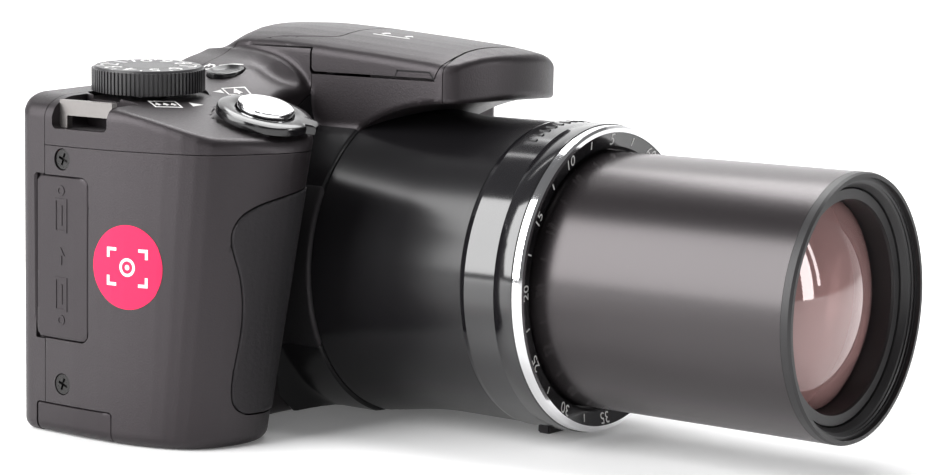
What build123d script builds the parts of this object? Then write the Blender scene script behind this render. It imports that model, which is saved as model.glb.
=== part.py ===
from build123d import *
import math
import os

os.makedirs("parts", exist_ok=True)

# ---------------------------------------------------------------------------
# Superzoom camera with a deep hand grip, a flash in a hump over the lens and a
# telescoping zoom tube, stored with the tube run out.
# Millimetres.  +Z is up, the lens looks along -Y, the hand grip is at -X.
# Origin: mouth of the tripod socket, on the base plane, below the lens axis.
# ---------------------------------------------------------------------------

# overall
SIDE_L = -63.0          # grip side
SIDE_R = 41.0           # free side
REAR_Y = 13.85          # rear face
SEAM_Y = 7.0            # joint between front and rear covers
SEAM_Z = 49.4           # joint between front and top covers
FACE_Y = -11.5          # front face of the body beside the lens
CROWN_Z = 69.5          # top of the flash hump
WALL = 1.8              # cover thickness
SKIN = 1.0              # rubber thickness
GAP = 0.12              # joint line between covers, each side about half

# lens
AXIS_Z = 27.7           # lens axis height
R_TUBE = 22.13          # zoom tube outer radius
R_BORE = 25.3           # shroud bore
R_BARREL = 26.5         # fixed barrel
R_RIM = 29.0            # shroud rim
U_RIM = 22.5            # distances along the lens, forward of Y = 0
U_NECK = 40.0
U_SEAM = 54.0
U_RING = 66.3
U_TIP = 114.4
U_TAIL = 60.0
TRAVEL = 47.0           # zoom travel

# hump
HUMP_X = 16.0
NOSE_Y = -46.5
LID_Z = 61.0
LID_Y0 = -11.4
LID_Y1 = -40.6
HINGE_Y = 3.9
HINGE_Z = 67.7

# controls
DIAL = (-45.0, 0.4, 58.15)
DIAL_R = 9.73
DIAL_H = 4.1
SHUT = (-40.5, -22.1, 54.2)
POWER = (-26.0, 0.0, 61.0)
PAD = (-46.5, 23.5)

lens_axis = Axis((0, 0, AXIS_Z), (0, -1, 0))
lens_plane = Plane(origin=(0, 0, AXIS_Z), x_dir=(0, -1, 0), z_dir=(-1, 0, 0))


def tilted(origin, side_deg, fwd_deg):
    # plane whose normal leans to -X by side_deg and to -Y by fwd_deg
    n = Vector(-math.tan(math.radians(side_deg)), -math.tan(math.radians(fwd_deg)), 1.0).normalized()
    x = Vector(1, 0, -n.X / n.Z).normalized()
    return Plane(origin=origin, x_dir=x, z_dir=n)


dial_plane = tilted(DIAL, 3.0, 2.35)
shut_plane = tilted(SHUT, 4.0, 17.0)
power_plane = tilted(POWER, 13.0, 3.0)

# plan outlines of the hand grip, at the base and at the top joint line
GRIP_LOW = [(-62.6, 13.85), (-62.8, 0.0), (-62.4, -10.0), (-59.6, -19.8), (-54.6, -24.5), (-47.0, -26.0),
            (-41.0, -24.6), (-38.0, -20.5), (-35.5, -13.0), (-24.0, -8.0), (-24.0, 13.85)]
GRIP_TOP = [(-62.94, 13.85), (-62.96, 0.0), (-62.6, -9.0), (-58.4, -24.2), (-53.2, -27.2), (-46.0, -29.6),
            (-38.5, -30.8), (-33.2, -27.0), (-31.0, -15.0), (-24.0, -8.0), (-24.0, 13.85)]
GRIP_H = 66.0
GRIP_HIGH = [(a[0] + (b[0] - a[0]) * GRIP_H / SEAM_Z, a[1] + (b[1] - a[1]) * GRIP_H / SEAM_Z)
             for a, b in zip(GRIP_LOW, GRIP_TOP)]

# front view of the whole top, from the grip side over the hump to the free side
CROSS = [(-63.0, -6.0), (-63.0, 55.6), (-60.6, 57.2), (-45.0, 58.0), (-36.0, 58.6), (-30.0, 59.6), (-25.0, 61.2),
         (-20.5, 63.6), (-16.8, 66.0), (-11.0, 68.3), (-5.0, 69.3), (0.0, 69.5), (5.0, 69.3), (11.0, 68.3),
         (16.8, 66.0), (20.0, 62.6), (24.0, 60.0), (30.0, 58.0), (37.0, 56.4), (40.0, 55.0), (41.0, 52.5), (41.0, -6.0)]

# side view of the hump
HUMP_SIDE = [(13.85, 50.0), (13.85, 64.6), (9.5, 68.4), (6.5, 69.3), (-2.0, 69.5), (-12.0, 68.9), (-26.0, 67.9),
             (-38.0, 66.9), (-43.5, 66.0), (-46.5, 63.6), (-46.5, 58.2), (-45.0, 57.1), (-38.0, 56.9), (-29.4, 54.9),
             (-21.0, 50.7), (-21.0, 50.0)]
HUMP_PLAN = [(-16.0, 13.85), (-16.0, -40.0), (-15.2, -42.8), (-11.5, -44.8), (-6.0, -46.1), (0.0, -46.5),
             (6.0, -46.1), (11.5, -44.8), (15.2, -42.8), (16.0, -40.0), (16.0, 13.85)]


def envelope(d, z_low=0.0):
    # outer form of the whole body, drawn in by d all round
    with BuildPart() as grip:
        with BuildSketch(Plane.XY.offset(0)):
            with BuildLine():
                Polyline(*GRIP_LOW, close=True)
            make_face()
            if d:
                offset(amount=-d)
        with BuildSketch(Plane.XY.offset(GRIP_H)):
            with BuildLine():
                Polyline(*GRIP_HIGH, close=True)
            make_face()
            if d:
                offset(amount=-d)
        loft(ruled=True)
        split(bisect_by=tilted((-45.0, -12.6, 57.6 - d), 3.0, 2.35), keep=Keep.BOTTOM)
        split(bisect_by=tilted((-45.0, -9.5, 57.7 - d * 1.05), 4.0, 17.0), keep=Keep.BOTTOM)
        split(bisect_by=Plane(origin=(-60.2 + d, 0, 57.3 - d), x_dir=(0, 1, 0), z_dir=(-0.55, 0, 0.83)), keep=Keep.BOTTOM)
        split(bisect_by=Plane(origin=(-45.0, -29.6 + d, 52.2 - d * 0.6), x_dir=(1, 0, 0), z_dir=(0, -0.8, 0.6)), keep=Keep.BOTTOM)
        if z_low < 0:
            with BuildSketch(Plane.XY.offset(z_low)):
                with BuildLine():
                    Polyline(*GRIP_LOW, close=True)
                make_face()
                offset(amount=-d)
            extrude(amount=-z_low + 0.5)
    with BuildPart() as body:
        with BuildSketch(Plane.XZ.offset(-(REAR_Y - d))):
            with BuildLine():
                Polyline(*CROSS, close=True)
            make_face()
            if d:
                offset(amount=-d)
        extrude(amount=(REAR_Y - d) - (FACE_Y + d))
        split(bisect_by=Plane.XY.offset(z_low), keep=Keep.TOP)
        split(bisect_by=Plane.YZ.offset(-34.0), keep=Keep.TOP)
        split(bisect_by=Plane(origin=(0, 9.5, 68.4 - d), x_dir=(1, 0, 0), z_dir=(0, 0.66, 0.75)), keep=Keep.BOTTOM)
    with BuildPart() as hump:
        with BuildSketch(Plane.YZ.offset(-(HUMP_X - d))):
            with BuildLine():
                Polyline(*HUMP_SIDE, close=True)
            make_face()
            if d:
                offset(amount=-d)
        extrude(amount=2 * (HUMP_X - d))
        with BuildSketch(Plane.XY.offset(40)):
            with BuildLine():
                Polyline(*HUMP_PLAN, close=True)
            make_face()
            if d:
                offset(amount=-d)
        extrude(amount=40, mode=Mode.INTERSECT)
        for s in (-1, 1):
            split(bisect_by=Plane(origin=(s * 13.0, 0, 67.6 - d), x_dir=(0, 1, 0), z_dir=(s * 0.45, 0, 0.9)), keep=Keep.BOTTOM)
            split(bisect_by=Plane(origin=(s * 7.0, 0, 69.15 - d), x_dir=(0, 1, 0), z_dir=(s * 0.2, 0, 0.98)), keep=Keep.BOTTOM)
    with BuildPart() as whole:
        add(grip.part)
        add(body.part)
        add(hump.part)
    return whole.part


def lens_ring(points):
    # ring about the lens axis from (distance forward, radius) pairs
    with BuildPart() as ring:
        with BuildSketch(lens_plane):
            with BuildLine():
                Polyline(*points, close=True)
            make_face()
        revolve(axis=lens_axis)
    return ring.part


def dome_mid(u_edge, u_top, r):
    # middle point of a spherical lens face between its edge and its apex
    sag = abs(u_top - u_edge)
    big = (r * r + sag * sag) / (2 * sag)
    half = big - math.sqrt(big * big - r * r / 4)
    return (u_top - half if u_top > u_edge else u_top + half, r / 2)


shroud_solid = lens_ring([(10.0, 0.0), (10.0, R_RIM - 0.4), (U_RIM - 0.6, R_RIM), (U_RIM, R_RIM - 0.05), (25.0, 28.3), (28.0, 27.65),
                          (31.5, 27.1), (35.5, 26.7), (U_NECK, R_BARREL), (U_SEAM - 0.1, R_BARREL), (U_SEAM - 0.1, 0.0)])
bore_solid = lens_ring([(5.0, 0.0), (5.0, R_BORE), (U_SEAM + 3, R_BORE), (U_SEAM + 3, 0.0)])

outer = envelope(0.0)
skin_out = envelope(SKIN)
skin_in = envelope(SKIN + 0.15)
cavity = envelope(WALL + 0.2, z_low=-3.0)

# regions that the covers are cut to --------------------------------------
def block(x0, x1, y0, y1, z0, z1):
    with BuildPart() as b:
        with Locations(((x0 + x1) / 2, (y0 + y1) / 2, (z0 + z1) / 2)):
            Box(x1 - x0, y1 - y0, z1 - z0)
    return b.part


def joined(*solids):
    with BuildPart() as b:
        for s in solids:
            add(s)
    return b.part


G = GAP / 2
top_region = joined(block(-70, 50, FACE_Y + G, SEAM_Y - G, SEAM_Z + G, 80), block(-70, -22 - G, -45, FACE_Y + 1, SEAM_Z + G, 80))
top_keepout = joined(block(-70, 50, FACE_Y - G, SEAM_Y + 20, SEAM_Z - G, 80), block(-70, -22 + G, -45, FACE_Y + 1, SEAM_Z - G, 80))
lid_region = joined(block(-17, 17, LID_Y1, LID_Y0 - 0.15, LID_Z + 0.05, 80), block(-12.9, 12.9, LID_Y0 - 1, HINGE_Y - 0.5, 65.8, 80))
lid_opening = joined(block(-20, 20, LID_Y1 - 0.4, LID_Y0 + 0.1, LID_Z - 0.15, 80), block(-13.1, 13.1, LID_Y0 - 1, HINGE_Y + 1.3, 65.6, 80))
nose_region = block(-18, 18, -50, LID_Y1 - 0.45, 55.5, 80)
nose_keepout = block(-18, 18, -50, LID_Y1 - 0.4, 55.4, 80)
rubber_zone_pts = [(-50.6, 5.6), (-52.0, 9.5), (-50.4, 22.0), (-52.4, 32.0), (-53.0, 36.5), (-50.4, 40.2), (-44.0, 42.6),
                   (-34.0, 44.4), (-29.0, 44.4), (-29.0, 5.0), (-48.0, 5.0)]

strap_pockets = joined(block(-63.8, -54.9, -7.2, 5.2, 52.4, 64), block(33.3, 42.0, -6.2, 6.2, 49.6, 62))
with BuildPart() as strap_liners:
    add(block(-64, -53.7, -8.4, 6.4, 51.2, 64))
    add(block(32.1, 42.0, -7.4, 6.6, 49.6, 62))
    add(outer, mode=Mode.INTERSECT)

side_wells = joined(block(-64, -61.55, -3.5, 9.4, 16.3, 44.6), block(-64, -60.5, -8.7, 9.3, -1, 5.4),
                    block(-64, -60.5, -0.6, 6.6, 21.2, 25.3), block(-64, -60.5, -0.6, 6.6, 33.2, 37.3))
SIDE_SCREWS = [(SIDE_L + 0.1, 2.8, 47.2, 1), (SIDE_L + 0.1, 2.8, 8.9, 1), (SIDE_R, 2.8, 44.0, -1), (SIDE_R, 2.8, 10.0, -1)]
BASE_SCREWS = [(-58.9, 3.0), (28.0, -6.5), (28.0, 9.0), (-24.0, 9.0)]
with BuildPart() as screw_wells:
    for x, y, z, s in SIDE_SCREWS:
        with Locations(Plane(origin=(x, y, z), x_dir=(0, 1, 0), z_dir=(-s, 0, 0))):
            Cylinder(radius=1.95, height=2.6)
            Cylinder(radius=0.9, height=9.0)

# front cover ---------------------------------------------------------------
with BuildPart() as rubber_zone:
    with BuildSketch(Plane.XZ.offset(12.6)):
        with BuildLine():
            Polyline(*rubber_zone_pts, close=True)
        make_face()
    extrude(amount=24)

with BuildPart() as rubber_recess:
    add(outer)
    add(skin_in, mode=Mode.SUBTRACT)
    add(rubber_zone.part, mode=Mode.INTERSECT)

with BuildPart() as lens_seat:
    # room for the framing buttons in the barrel wall
    for z in (AXIS_Z + 5.3, AXIS_Z - 5.3):
        with Locations(Plane(origin=(20.0, -46.5, z), x_dir=(0, 1, 0), z_dir=(1, 0, 0))):
            Cylinder(radius=2.75, height=10, align=(Align.CENTER, Align.CENTER, Align.MIN))

with BuildPart() as front_cover:
    add(outer)
    add(shroud_solid)
    split(bisect_by=Plane.XY, keep=Keep.TOP)
    add(cavity, mode=Mode.SUBTRACT)
    add(bore_solid, mode=Mode.SUBTRACT)
    split(bisect_by=Plane.XZ.offset(-(SEAM_Y - G)), keep=Keep.TOP)
    add(top_keepout, mode=Mode.SUBTRACT)
    add(lid_opening, mode=Mode.SUBTRACT)
    add(nose_keepout, mode=Mode.SUBTRACT)
    add(side_wells, mode=Mode.SUBTRACT)
    add(screw_wells.part, mode=Mode.SUBTRACT)
    add(rubber_recess.part, mode=Mode.SUBTRACT)
    add(lens_seat.part, mode=Mode.SUBTRACT)
    with Locations(Plane(origin=(34.8, FACE_Y, 42.5), x_dir=(1, 0, 0), z_dir=(0, -1, 0))):
        Cylinder(radius=3.1, height=8, mode=Mode.SUBTRACT)
front_cover.part.label = "front_cover"
export_step(front_cover.part, "parts/front_cover.step")

with BuildPart() as grip_rubber:
    add(outer)
    add(skin_out, mode=Mode.SUBTRACT)
    with BuildSketch(Plane.XZ.offset(12.8)):
        with BuildLine():
            Polyline(*rubber_zone_pts, close=True)
        make_face()
        offset(amount=-0.15)
    extrude(amount=24, mode=Mode.INTERSECT)
grip_rubber.part.label = "grip_rubber"
export_step(grip_rubber.part, "parts/grip_rubber.step")

with BuildPart() as nose_cover:
    add(outer)
    add(cavity, mode=Mode.SUBTRACT)
    add(nose_region, mode=Mode.INTERSECT)
nose_cover.part.label = "nose_cover"
export_step(nose_cover.part, "parts/nose_cover.step")

# top cover -------------------------------------------------------------------
with BuildPart() as flash_pin_holes:
    with Locations(Plane(origin=(0, HINGE_Y, HINGE_Z), x_dir=(0, 1, 0), z_dir=(1, 0, 0))):
        Cylinder(radius=0.5, height=28.6)

with BuildPart() as top_cover:
    add(outer)
    add(cavity, mode=Mode.SUBTRACT)
    add(strap_liners.part)
    add(top_region, mode=Mode.INTERSECT)
    add(bore_solid, mode=Mode.SUBTRACT)
    add(strap_pockets, mode=Mode.SUBTRACT)
    add(lid_opening, mode=Mode.SUBTRACT)
    add(flash_pin_holes.part, mode=Mode.SUBTRACT)
    with Locations(dial_plane):
        Cylinder(radius=3.06, height=14, mode=Mode.SUBTRACT)
    with Locations(shut_plane):
        Cylinder(radius=2.55, height=14, mode=Mode.SUBTRACT)
    with Locations(power_plane):
        Cylinder(radius=1.3, height=14, mode=Mode.SUBTRACT)
        Cylinder(radius=3.55, height=8, align=(Align.CENTER, Align.CENTER, Align.MIN), mode=Mode.SUBTRACT)
    with Locations(power_plane.offset(-1.1)):
        Cylinder(radius=3.55, height=4, align=(Align.CENTER, Align.CENTER, Align.MIN), mode=Mode.SUBTRACT)
top_cover.part.label = "top_cover"
export_step(top_cover.part, "parts/top_cover.step")

# rear cover --------------------------------------------------------------------
SCREEN = (-29.0, 37.0, 4.5, 53.0)
REAR_BUTTONS = {"movie_button": (-36.0, 48.6, 3.2), "playback_button": (-36.0, 38.4, 2.7), "focus_frame_button": (-57.2, 37.2, 2.5),
                "menu_button": (-36.4, 9.6, 2.7), "display_button": (-56.6, 9.6, 2.7)}
THUMB = (-61.0, -44.6, 41.6, 56.0)
with BuildPart() as rear_cover:
    add(outer)
    add(cavity, mode=Mode.SUBTRACT)
    split(bisect_by=Plane.XZ.offset(-(SEAM_Y + G)), keep=Keep.BOTTOM)
    add(side_wells, mode=Mode.SUBTRACT)
    add(block(SCREEN[0] - 0.12, SCREEN[1] + 0.12, 10, 15, SCREEN[2] - 0.12, SCREEN[3] + 0.12), mode=Mode.SUBTRACT)
    add(block(THUMB[0] - 0.1, THUMB[1] + 0.1, REAR_Y - 0.9, 15, THUMB[2] - 0.1, THUMB[3] + 0.1), mode=Mode.SUBTRACT)
    for x, z, r in REAR_BUTTONS.values():
        with Locations(Plane(origin=(x, REAR_Y, z), x_dir=(1, 0, 0), z_dir=(0, -1, 0))):
            Cylinder(radius=r + 0.15, height=8, mode=Mode.SUBTRACT)
    with Locations(Plane(origin=(PAD[0], REAR_Y, PAD[1]), x_dir=(1, 0, 0), z_dir=(0, -1, 0))):
        Cylinder(radius=9.4, height=8, mode=Mode.SUBTRACT)
rear_cover.part.label = "rear_cover"
export_step(rear_cover.part, "parts/rear_cover.step")

with BuildPart() as thumb_rest:
    with BuildSketch(Plane.XZ.offset(-(REAR_Y - 0.8))):
        with Locations(((THUMB[0] + THUMB[1]) / 2, (THUMB[2] + THUMB[3]) / 2)):
            RectangleRounded(THUMB[1] - THUMB[0], THUMB[3] - THUMB[2], 3.0)
    extrude(amount=-0.85)
    with BuildSketch(Plane.XZ.offset(-(REAR_Y + 0.04))):
        with Locations(((THUMB[0] + THUMB[1]) / 2, (THUMB[2] + THUMB[3]) / 2)):
            RectangleRounded(THUMB[1] - THUMB[0], THUMB[3] - THUMB[2], 3.0)
    extrude(amount=-0.71, taper=45)
thumb_rest.part.label = "thumb_rest"
export_step(thumb_rest.part, "parts/thumb_rest.step")

with BuildPart() as lcd_window:
    with BuildSketch(Plane.XZ.offset(-12.35)):
        with Locations(((SCREEN[0] + SCREEN[1]) / 2, (SCREEN[2] + SCREEN[3]) / 2)):
            Rectangle(SCREEN[1] - SCREEN[0], SCREEN[3] - SCREEN[2])
    extrude(amount=-1.2)
    chamfer(lcd_window.faces().sort_by(Axis.Y)[-1].edges(), length=0.25)
lcd_window.part.label = "lcd_window"
export_step(lcd_window.part, "parts/lcd_window.step")

with BuildPart() as lcd_panel:
    add(block(-28.0, 36.0, 9.4, 12.25, 5.4, 52.2))
lcd_panel.part.label = "lcd_panel"
export_step(lcd_panel.part, "parts/lcd_panel.step")

# base cover, battery door -------------------------------------------------------
base_form = envelope(WALL + 0.3, z_low=-3.0)
DOOR_PLAN = [(-55.4, -15.8), (-54.2, -15.8), (-54.2, -20.6), (-52.6, -21.8), (-46.5, -23.0), (-42.6, -22.0), (-39.6, -18.0),
             (-39.0, -14.0), (-39.0, 9.6), (-54.2, 9.6), (-54.2, 8.4), (-55.4, 8.4)]
DOOR_PIN = (-56.4, 1.0)
with BuildPart() as base_cover:
    add(base_form)
    add(block(-70, 50, -40, 20, 0.0, 1.8), mode=Mode.INTERSECT)
    with BuildSketch(Plane.XY.offset(-1)):
        with BuildLine():
            Polyline(*DOOR_PLAN, close=True)
        make_face()
        offset(amount=0.15)
    extrude(amount=5, mode=Mode.SUBTRACT)
    add(block(-58.0, -55.0, -16.2, 8.8, -1, 5), mode=Mode.SUBTRACT)
    add(block(-54.6, -54.0, -20.9, 9.9, -1, 5), mode=Mode.SUBTRACT)
    with Locations(Plane(origin=(DOOR_PIN[0], -3.7, DOOR_PIN[1]), x_dir=(1, 0, 0), z_dir=(0, 1, 0))):
        Cylinder(radius=0.5, height=28.4, mode=Mode.SUBTRACT)
    with Locations((0, 0, 0)):
        Cylinder(radius=4.4, height=8, mode=Mode.SUBTRACT)
    for x, y in BASE_SCREWS:
        with Locations((x, y, 0)):
            Cylinder(radius=0.85, height=8, mode=Mode.SUBTRACT)
            Cylinder(radius=1.6, height=1.9, mode=Mode.SUBTRACT)
base_cover.part.label = "base_cover"
export_step(base_cover.part, "parts/base_cover.step")

with BuildPart() as battery_door:
    with BuildSketch(Plane.XY):
        with BuildLine():
            Polyline(*DOOR_PLAN, close=True)
        make_face()
    extrude(amount=1.6)
    with BuildSketch(Plane.XZ.offset(15.8)):
        with Locations(DOOR_PIN):
            Circle(0.9)
        with Locations((-55.75, 0.9)):
            Rectangle(0.9, 1.4)
    extrude(amount=-24.2)
    with BuildSketch(Plane.XZ.offset(16.5)):
        with Locations(DOOR_PIN):
            Circle(0.56)
    extrude(amount=-26.0, mode=Mode.SUBTRACT)
    # finger ridge by the free edge
    with Locations((-40.6, -6.0, 1.6)):
        Box(1.4, 10.0, 1.2)
battery_door.part.label = "battery_door"
export_step(battery_door.part, "parts/battery_door.step")

with BuildPart() as battery_door_pin:
    with Locations(Plane(origin=(DOOR_PIN[0], -3.7, DOOR_PIN[1]), x_dir=(1, 0, 0), z_dir=(0, 1, 0))):
        Cylinder(radius=0.5, height=28.4)
battery_door_pin.part.label = "battery_door_pin"
export_step(battery_door_pin.part, "parts/battery_door_pin.step")

with BuildPart() as tripod_socket:
    Cylinder(radius=4.3, height=6.5, align=(Align.CENTER, Align.CENTER, Align.MIN))
    with Locations((0, 0, 4.0)):
        Box(18.0, 8.0, 2.5, align=(Align.CENTER, Align.CENTER, Align.MIN))
    Hole(radius=3.175, depth=20)
    with Locations((0, 0, 6.0)):
        Cylinder(radius=3.6, height=0.5, align=(Align.CENTER, Align.CENTER, Align.MIN))
    for x in (-7.0, 7.0):
        with Locations((x, 0, 0)):
            Cylinder(radius=0.8, height=20, mode=Mode.SUBTRACT)
tripod_socket.part.label = "tripod_socket"
export_step(tripod_socket.part, "parts/tripod_socket.step")

# fasteners ------------------------------------------------------------------------
def screw(plane, head_r, head_h, shank_r, length):
    # cross-head screw, head top at the plane, shank away from its normal
    with BuildPart() as s:
        with BuildSketch(plane):
            Circle(head_r)
        extrude(amount=-head_h)
        with BuildSketch(plane.offset(-head_h)):
            Circle(shank_r)
        extrude(amount=-length)
        with BuildSketch(plane):
            Rectangle(head_r * 1.25, head_r * 0.26)
            Rectangle(head_r * 0.26, head_r * 1.25)
        extrude(amount=-head_h * 0.6, mode=Mode.SUBTRACT)
    return s.part


with BuildPart() as side_screws:
    for x, y, z, s in SIDE_SCREWS:
        add(screw(Plane(origin=(x + s * 0.25, y, z), x_dir=(0, 1, 0.35), z_dir=(-s, 0, 0)), 1.7, 1.0, 0.8, 2.4))
side_screws.part.label = "side_screws"
export_step(side_screws.part, "parts/side_screws.step")

with BuildPart() as base_screws:
    for x, y in BASE_SCREWS:
        add(screw(Plane(origin=(x, y, 0.1), x_dir=(1, 0.3, 0), z_dir=(0, 0, -1)), 1.45, 0.8, 0.75, 2.2))
base_screws.part.label = "base_screws"
export_step(base_screws.part, "parts/base_screws.step")

# strap lugs --------------------------------------------------------------------------
with BuildPart() as strap_lugs:
    add(block(-61.2, -60.0, -7.2, 5.2, 54.5, 57.1))
    add(block(-61.2, -60.0, 3.4, 5.2, 52.4, 54.6))
    add(block(38.3, 39.5, -6.2, 6.2, 52.4, 54.8))
    add(block(38.3, 39.5, 4.4, 6.2, 49.6, 52.5))
strap_lugs.part.label = "strap_lugs"
export_step(strap_lugs.part, "parts/strap_lugs.step")

# side flaps ----------------------------------------------------------------------------
with BuildPart() as terminal_cover:
    with BuildSketch(Plane.YZ.offset(-63.0)):
        with Locations((2.95, 30.45)):
            RectangleRounded(12.3, 27.7, 1.6)
    extrude(amount=1.25)
    add(block(-61.8, -61.3, 0.0, 6.0, 21.8, 24.7))
    add(block(-61.8, -61.3, 0.0, 6.0, 33.8, 36.7))
terminal_cover.part.label = "terminal_cover"
export_step(terminal_cover.part, "parts/terminal_cover.step")

with BuildPart() as coupler_flap:
    with BuildSketch(Plane.YZ.offset(-62.9)):
        with Locations((0.3, 2.75)):
            RectangleRounded(17.4, 5.0, 0.6)
    extrude(amount=1.5)
coupler_flap.part.label = "coupler_flap"
export_step(coupler_flap.part, "parts/coupler_flap.step")

with BuildPart() as terminal_ports:
    for z in (23.25, 35.25):
        add(block(-60.9, -55.2, -0.4, 6.4, z - 1.9, z + 1.9))
        with Locations((-59.0, 3.0, z)):
            Box(5.2, 5.6, 2.6, mode=Mode.SUBTRACT)
terminal_ports.part.label = "terminal_ports"
export_step(terminal_ports.part, "parts/terminal_ports.step")

# lens barrel ------------------------------------------------------------------------------
foot_ring = lens_ring([(50, 0), (50, R_BARREL + 0.3), (62, R_BARREL + 0.3), (62, 0)])

with BuildPart() as gloss_ring:
    add(lens_ring([(U_SEAM + 0.05, 24.9), (U_SEAM + 0.05, 26.6), (U_SEAM + 0.9, 26.75), (64.65, 26.6), (64.65, 25.45), (63.9, 25.45),
                   (63.9, 24.9)]))
gloss_ring.part.label = "gloss_ring"
export_step(gloss_ring.part, "parts/gloss_ring.step")

with BuildPart() as chrome_ring:
    add(lens_ring([(64.7, 25.42), (64.7, 26.6), (65.9, 26.5), (U_RING, 26.1), (U_RING, 25.42)]))
chrome_ring.part.label = "chrome_ring"
export_step(chrome_ring.part, "parts/chrome_ring.step")

with BuildPart() as front_ring:
    add(lens_ring([(64.0, 22.5), (65.2, 22.5), (65.5, 23.0), (66.1, 25.38), (64.0, 25.38)]))
front_ring.part.label = "front_ring"
export_step(front_ring.part, "parts/front_ring.step")

with BuildPart() as barrel_foot:
    add(block(-7.0, 7.0, -60.2, -54.9, 0.0, 4.0))
    add(foot_ring, mode=Mode.SUBTRACT)
barrel_foot.part.label = "barrel_foot"
export_step(barrel_foot.part, "parts/barrel_foot.step")

PINION_D = 27.5
PINION = (-PINION_D * math.sin(math.radians(45)), AXIS_Z + PINION_D * math.cos(math.radians(45)))
with BuildPart() as guide_barrel:
    add(lens_ring([(4.6, 22.3), (4.6, 25.5), (6.3, 25.5), (6.3, 23.2), (63.7, 23.2), (63.7, 22.3)]))
    with Locations(Plane(origin=(PINION[0], 0, PINION[1]), x_dir=(1, 0, 0), z_dir=(0, -1, 0))):
        Cylinder(radius=4.3, height=30, mode=Mode.SUBTRACT)
    # straight guide slots for the tube
    with Locations((0, -36, AXIS_Z)):
        Box(3.0, 46, 60, mode=Mode.SUBTRACT)
guide_barrel.part.label = "guide_barrel"
export_step(guide_barrel.part, "parts/guide_barrel.step")

MODULE, N_RING, N_PINION = 0.5, 98, 12


def toothed(teeth, bore, u0, u1, centre, phase):
    pitch_r = MODULE * teeth / 2
    ro, rr = pitch_r + 0.37, pitch_r - 0.6
    p = Plane(origin=(centre[0], -u0, centre[1]), x_dir=(1, 0, 0), z_dir=(0, -1, 0))
    with BuildPart() as gear:
        with BuildSketch(p):
            Circle(rr)
            with PolarLocations(0, teeth, start_angle=phase):
                with BuildLine():
                    Polyline((rr - 0.3, -0.33), (rr + 0.1, -0.33), (ro, -0.15), (ro, 0.15), (rr + 0.1, 0.33), (rr - 0.3, 0.33), close=True)
                make_face()
            Circle(bore, mode=Mode.SUBTRACT)
        extrude(amount=u1 - u0)
    return gear.part


RING_PHASE = 135.0
with BuildPart() as cam_barrel:
    add(toothed(N_RING, 23.32, 7.2, 9.3, (0.0, AXIS_Z), RING_PHASE))
    add(lens_ring([(9.2, 23.32), (9.2, 24.4), (62.0, 24.4), (62.0, 23.32)]))
cam_barrel.part.label = "cam_barrel"
export_step(cam_barrel.part, "parts/cam_barrel.step")

with BuildPart() as motor_pinion:
    add(toothed(N_PINION, 0.5, 7.2, 9.3, PINION, RING_PHASE + 180.0 + 180.0 / N_PINION))
motor_pinion.part.label = "motor_pinion"
export_step(motor_pinion.part, "parts/motor_pinion.step")

with BuildPart() as zoom_motor:
    with BuildSketch(Plane(origin=(PINION[0], 4.8, PINION[1]), x_dir=(1, 0, 0), z_dir=(0, -1, 0))):
        Circle(4.0)
    extrude(amount=11.7)
    with BuildSketch(Plane(origin=(PINION[0], -6.8, PINION[1]), x_dir=(1, 0, 0), z_dir=(0, -1, 0))):
        Circle(0.45)
    extrude(amount=2.6)
zoom_motor.part.label = "zoom_motor"
export_step(zoom_motor.part, "parts/zoom_motor.step")

with BuildPart() as zoom_tube:
    add(lens_ring([(U_TAIL, 20.6), (U_TAIL, R_TUBE), (112.6, R_TUBE), (112.6, 20.6)]))
zoom_tube.part.label = "zoom_tube"
export_step(zoom_tube.part, "parts/zoom_tube.step")

with BuildPart() as front_rim:
    add(lens_ring([(110.0, 19.55), (110.0, 20.55), (112.65, 20.55), (112.65, R_TUBE), (113.9, R_TUBE), (U_TIP, 21.9), (U_TIP, 21.25),
                   (113.6, 21.25), (113.6, 20.7), (113.35, 20.8), (113.15, 20.45), (112.95, 20.55), (112.7, 20.2), (112.4, 20.0),
                   (111.6, 19.55)]))
front_rim.part.label = "front_rim"
export_step(front_rim.part, "parts/front_rim.step")

with BuildPart() as retaining_ring:
    add(lens_ring([(107.0, 17.45), (107.0, 19.5), (111.0, 19.5), (111.4, 19.2), (111.4, 17.6), (110.9, 17.45)]))
retaining_ring.part.label = "retaining_ring"
export_step(retaining_ring.part, "parts/retaining_ring.step")

with BuildPart() as front_lens:
    with BuildSketch(lens_plane):
        with BuildLine():
            Polyline((107.4, 0), (107.4, 17.4), (110.7, 17.4))
            ThreePointArc((110.7, 17.4), dome_mid(110.7, 112.85, 17.4), (112.85, 0))
            Line((112.85, 0), (107.4, 0))
        make_face()
    revolve(axis=lens_axis)
front_lens.part.label = "front_lens"
export_step(front_lens.part, "parts/front_lens.step")

with BuildPart() as zoom_lens_group:
    with BuildSketch(lens_plane):
        with BuildLine():
            Polyline((78.0, 0), (78.0, 12.0), (77.0, 13.5), (77.0, 20.3), (79.2, 20.3), (79.2, 14.0), (83.0, 13.0), (83.0, 12.0))
            ThreePointArc((83.0, 12.0), dome_mid(83.0, 84.6, 12.0), (84.6, 0))
            Line((84.6, 0), (78.0, 0))
        make_face()
    revolve(axis=lens_axis)
zoom_lens_group.part.label = "zoom_lens_group"
export_step(zoom_lens_group.part, "parts/zoom_lens_group.step")

with BuildPart() as focus_group:
    with BuildSketch(lens_plane):
        with BuildLine():
            Polyline((6.8, 0), (6.8, 9.0), (6.2, 9.6), (6.2, 15.0), (7.8, 15.0), (7.8, 10.4), (9.6, 9.8), (9.6, 9.0))
            ThreePointArc((9.6, 9.0), dome_mid(9.6, 8.6, 9.0), (8.6, 0))
            Line((8.6, 0), (6.8, 0))
        make_face()
    revolve(axis=lens_axis)
focus_group.part.label = "focus_group"
export_step(focus_group.part, "parts/focus_group.step")

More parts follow.
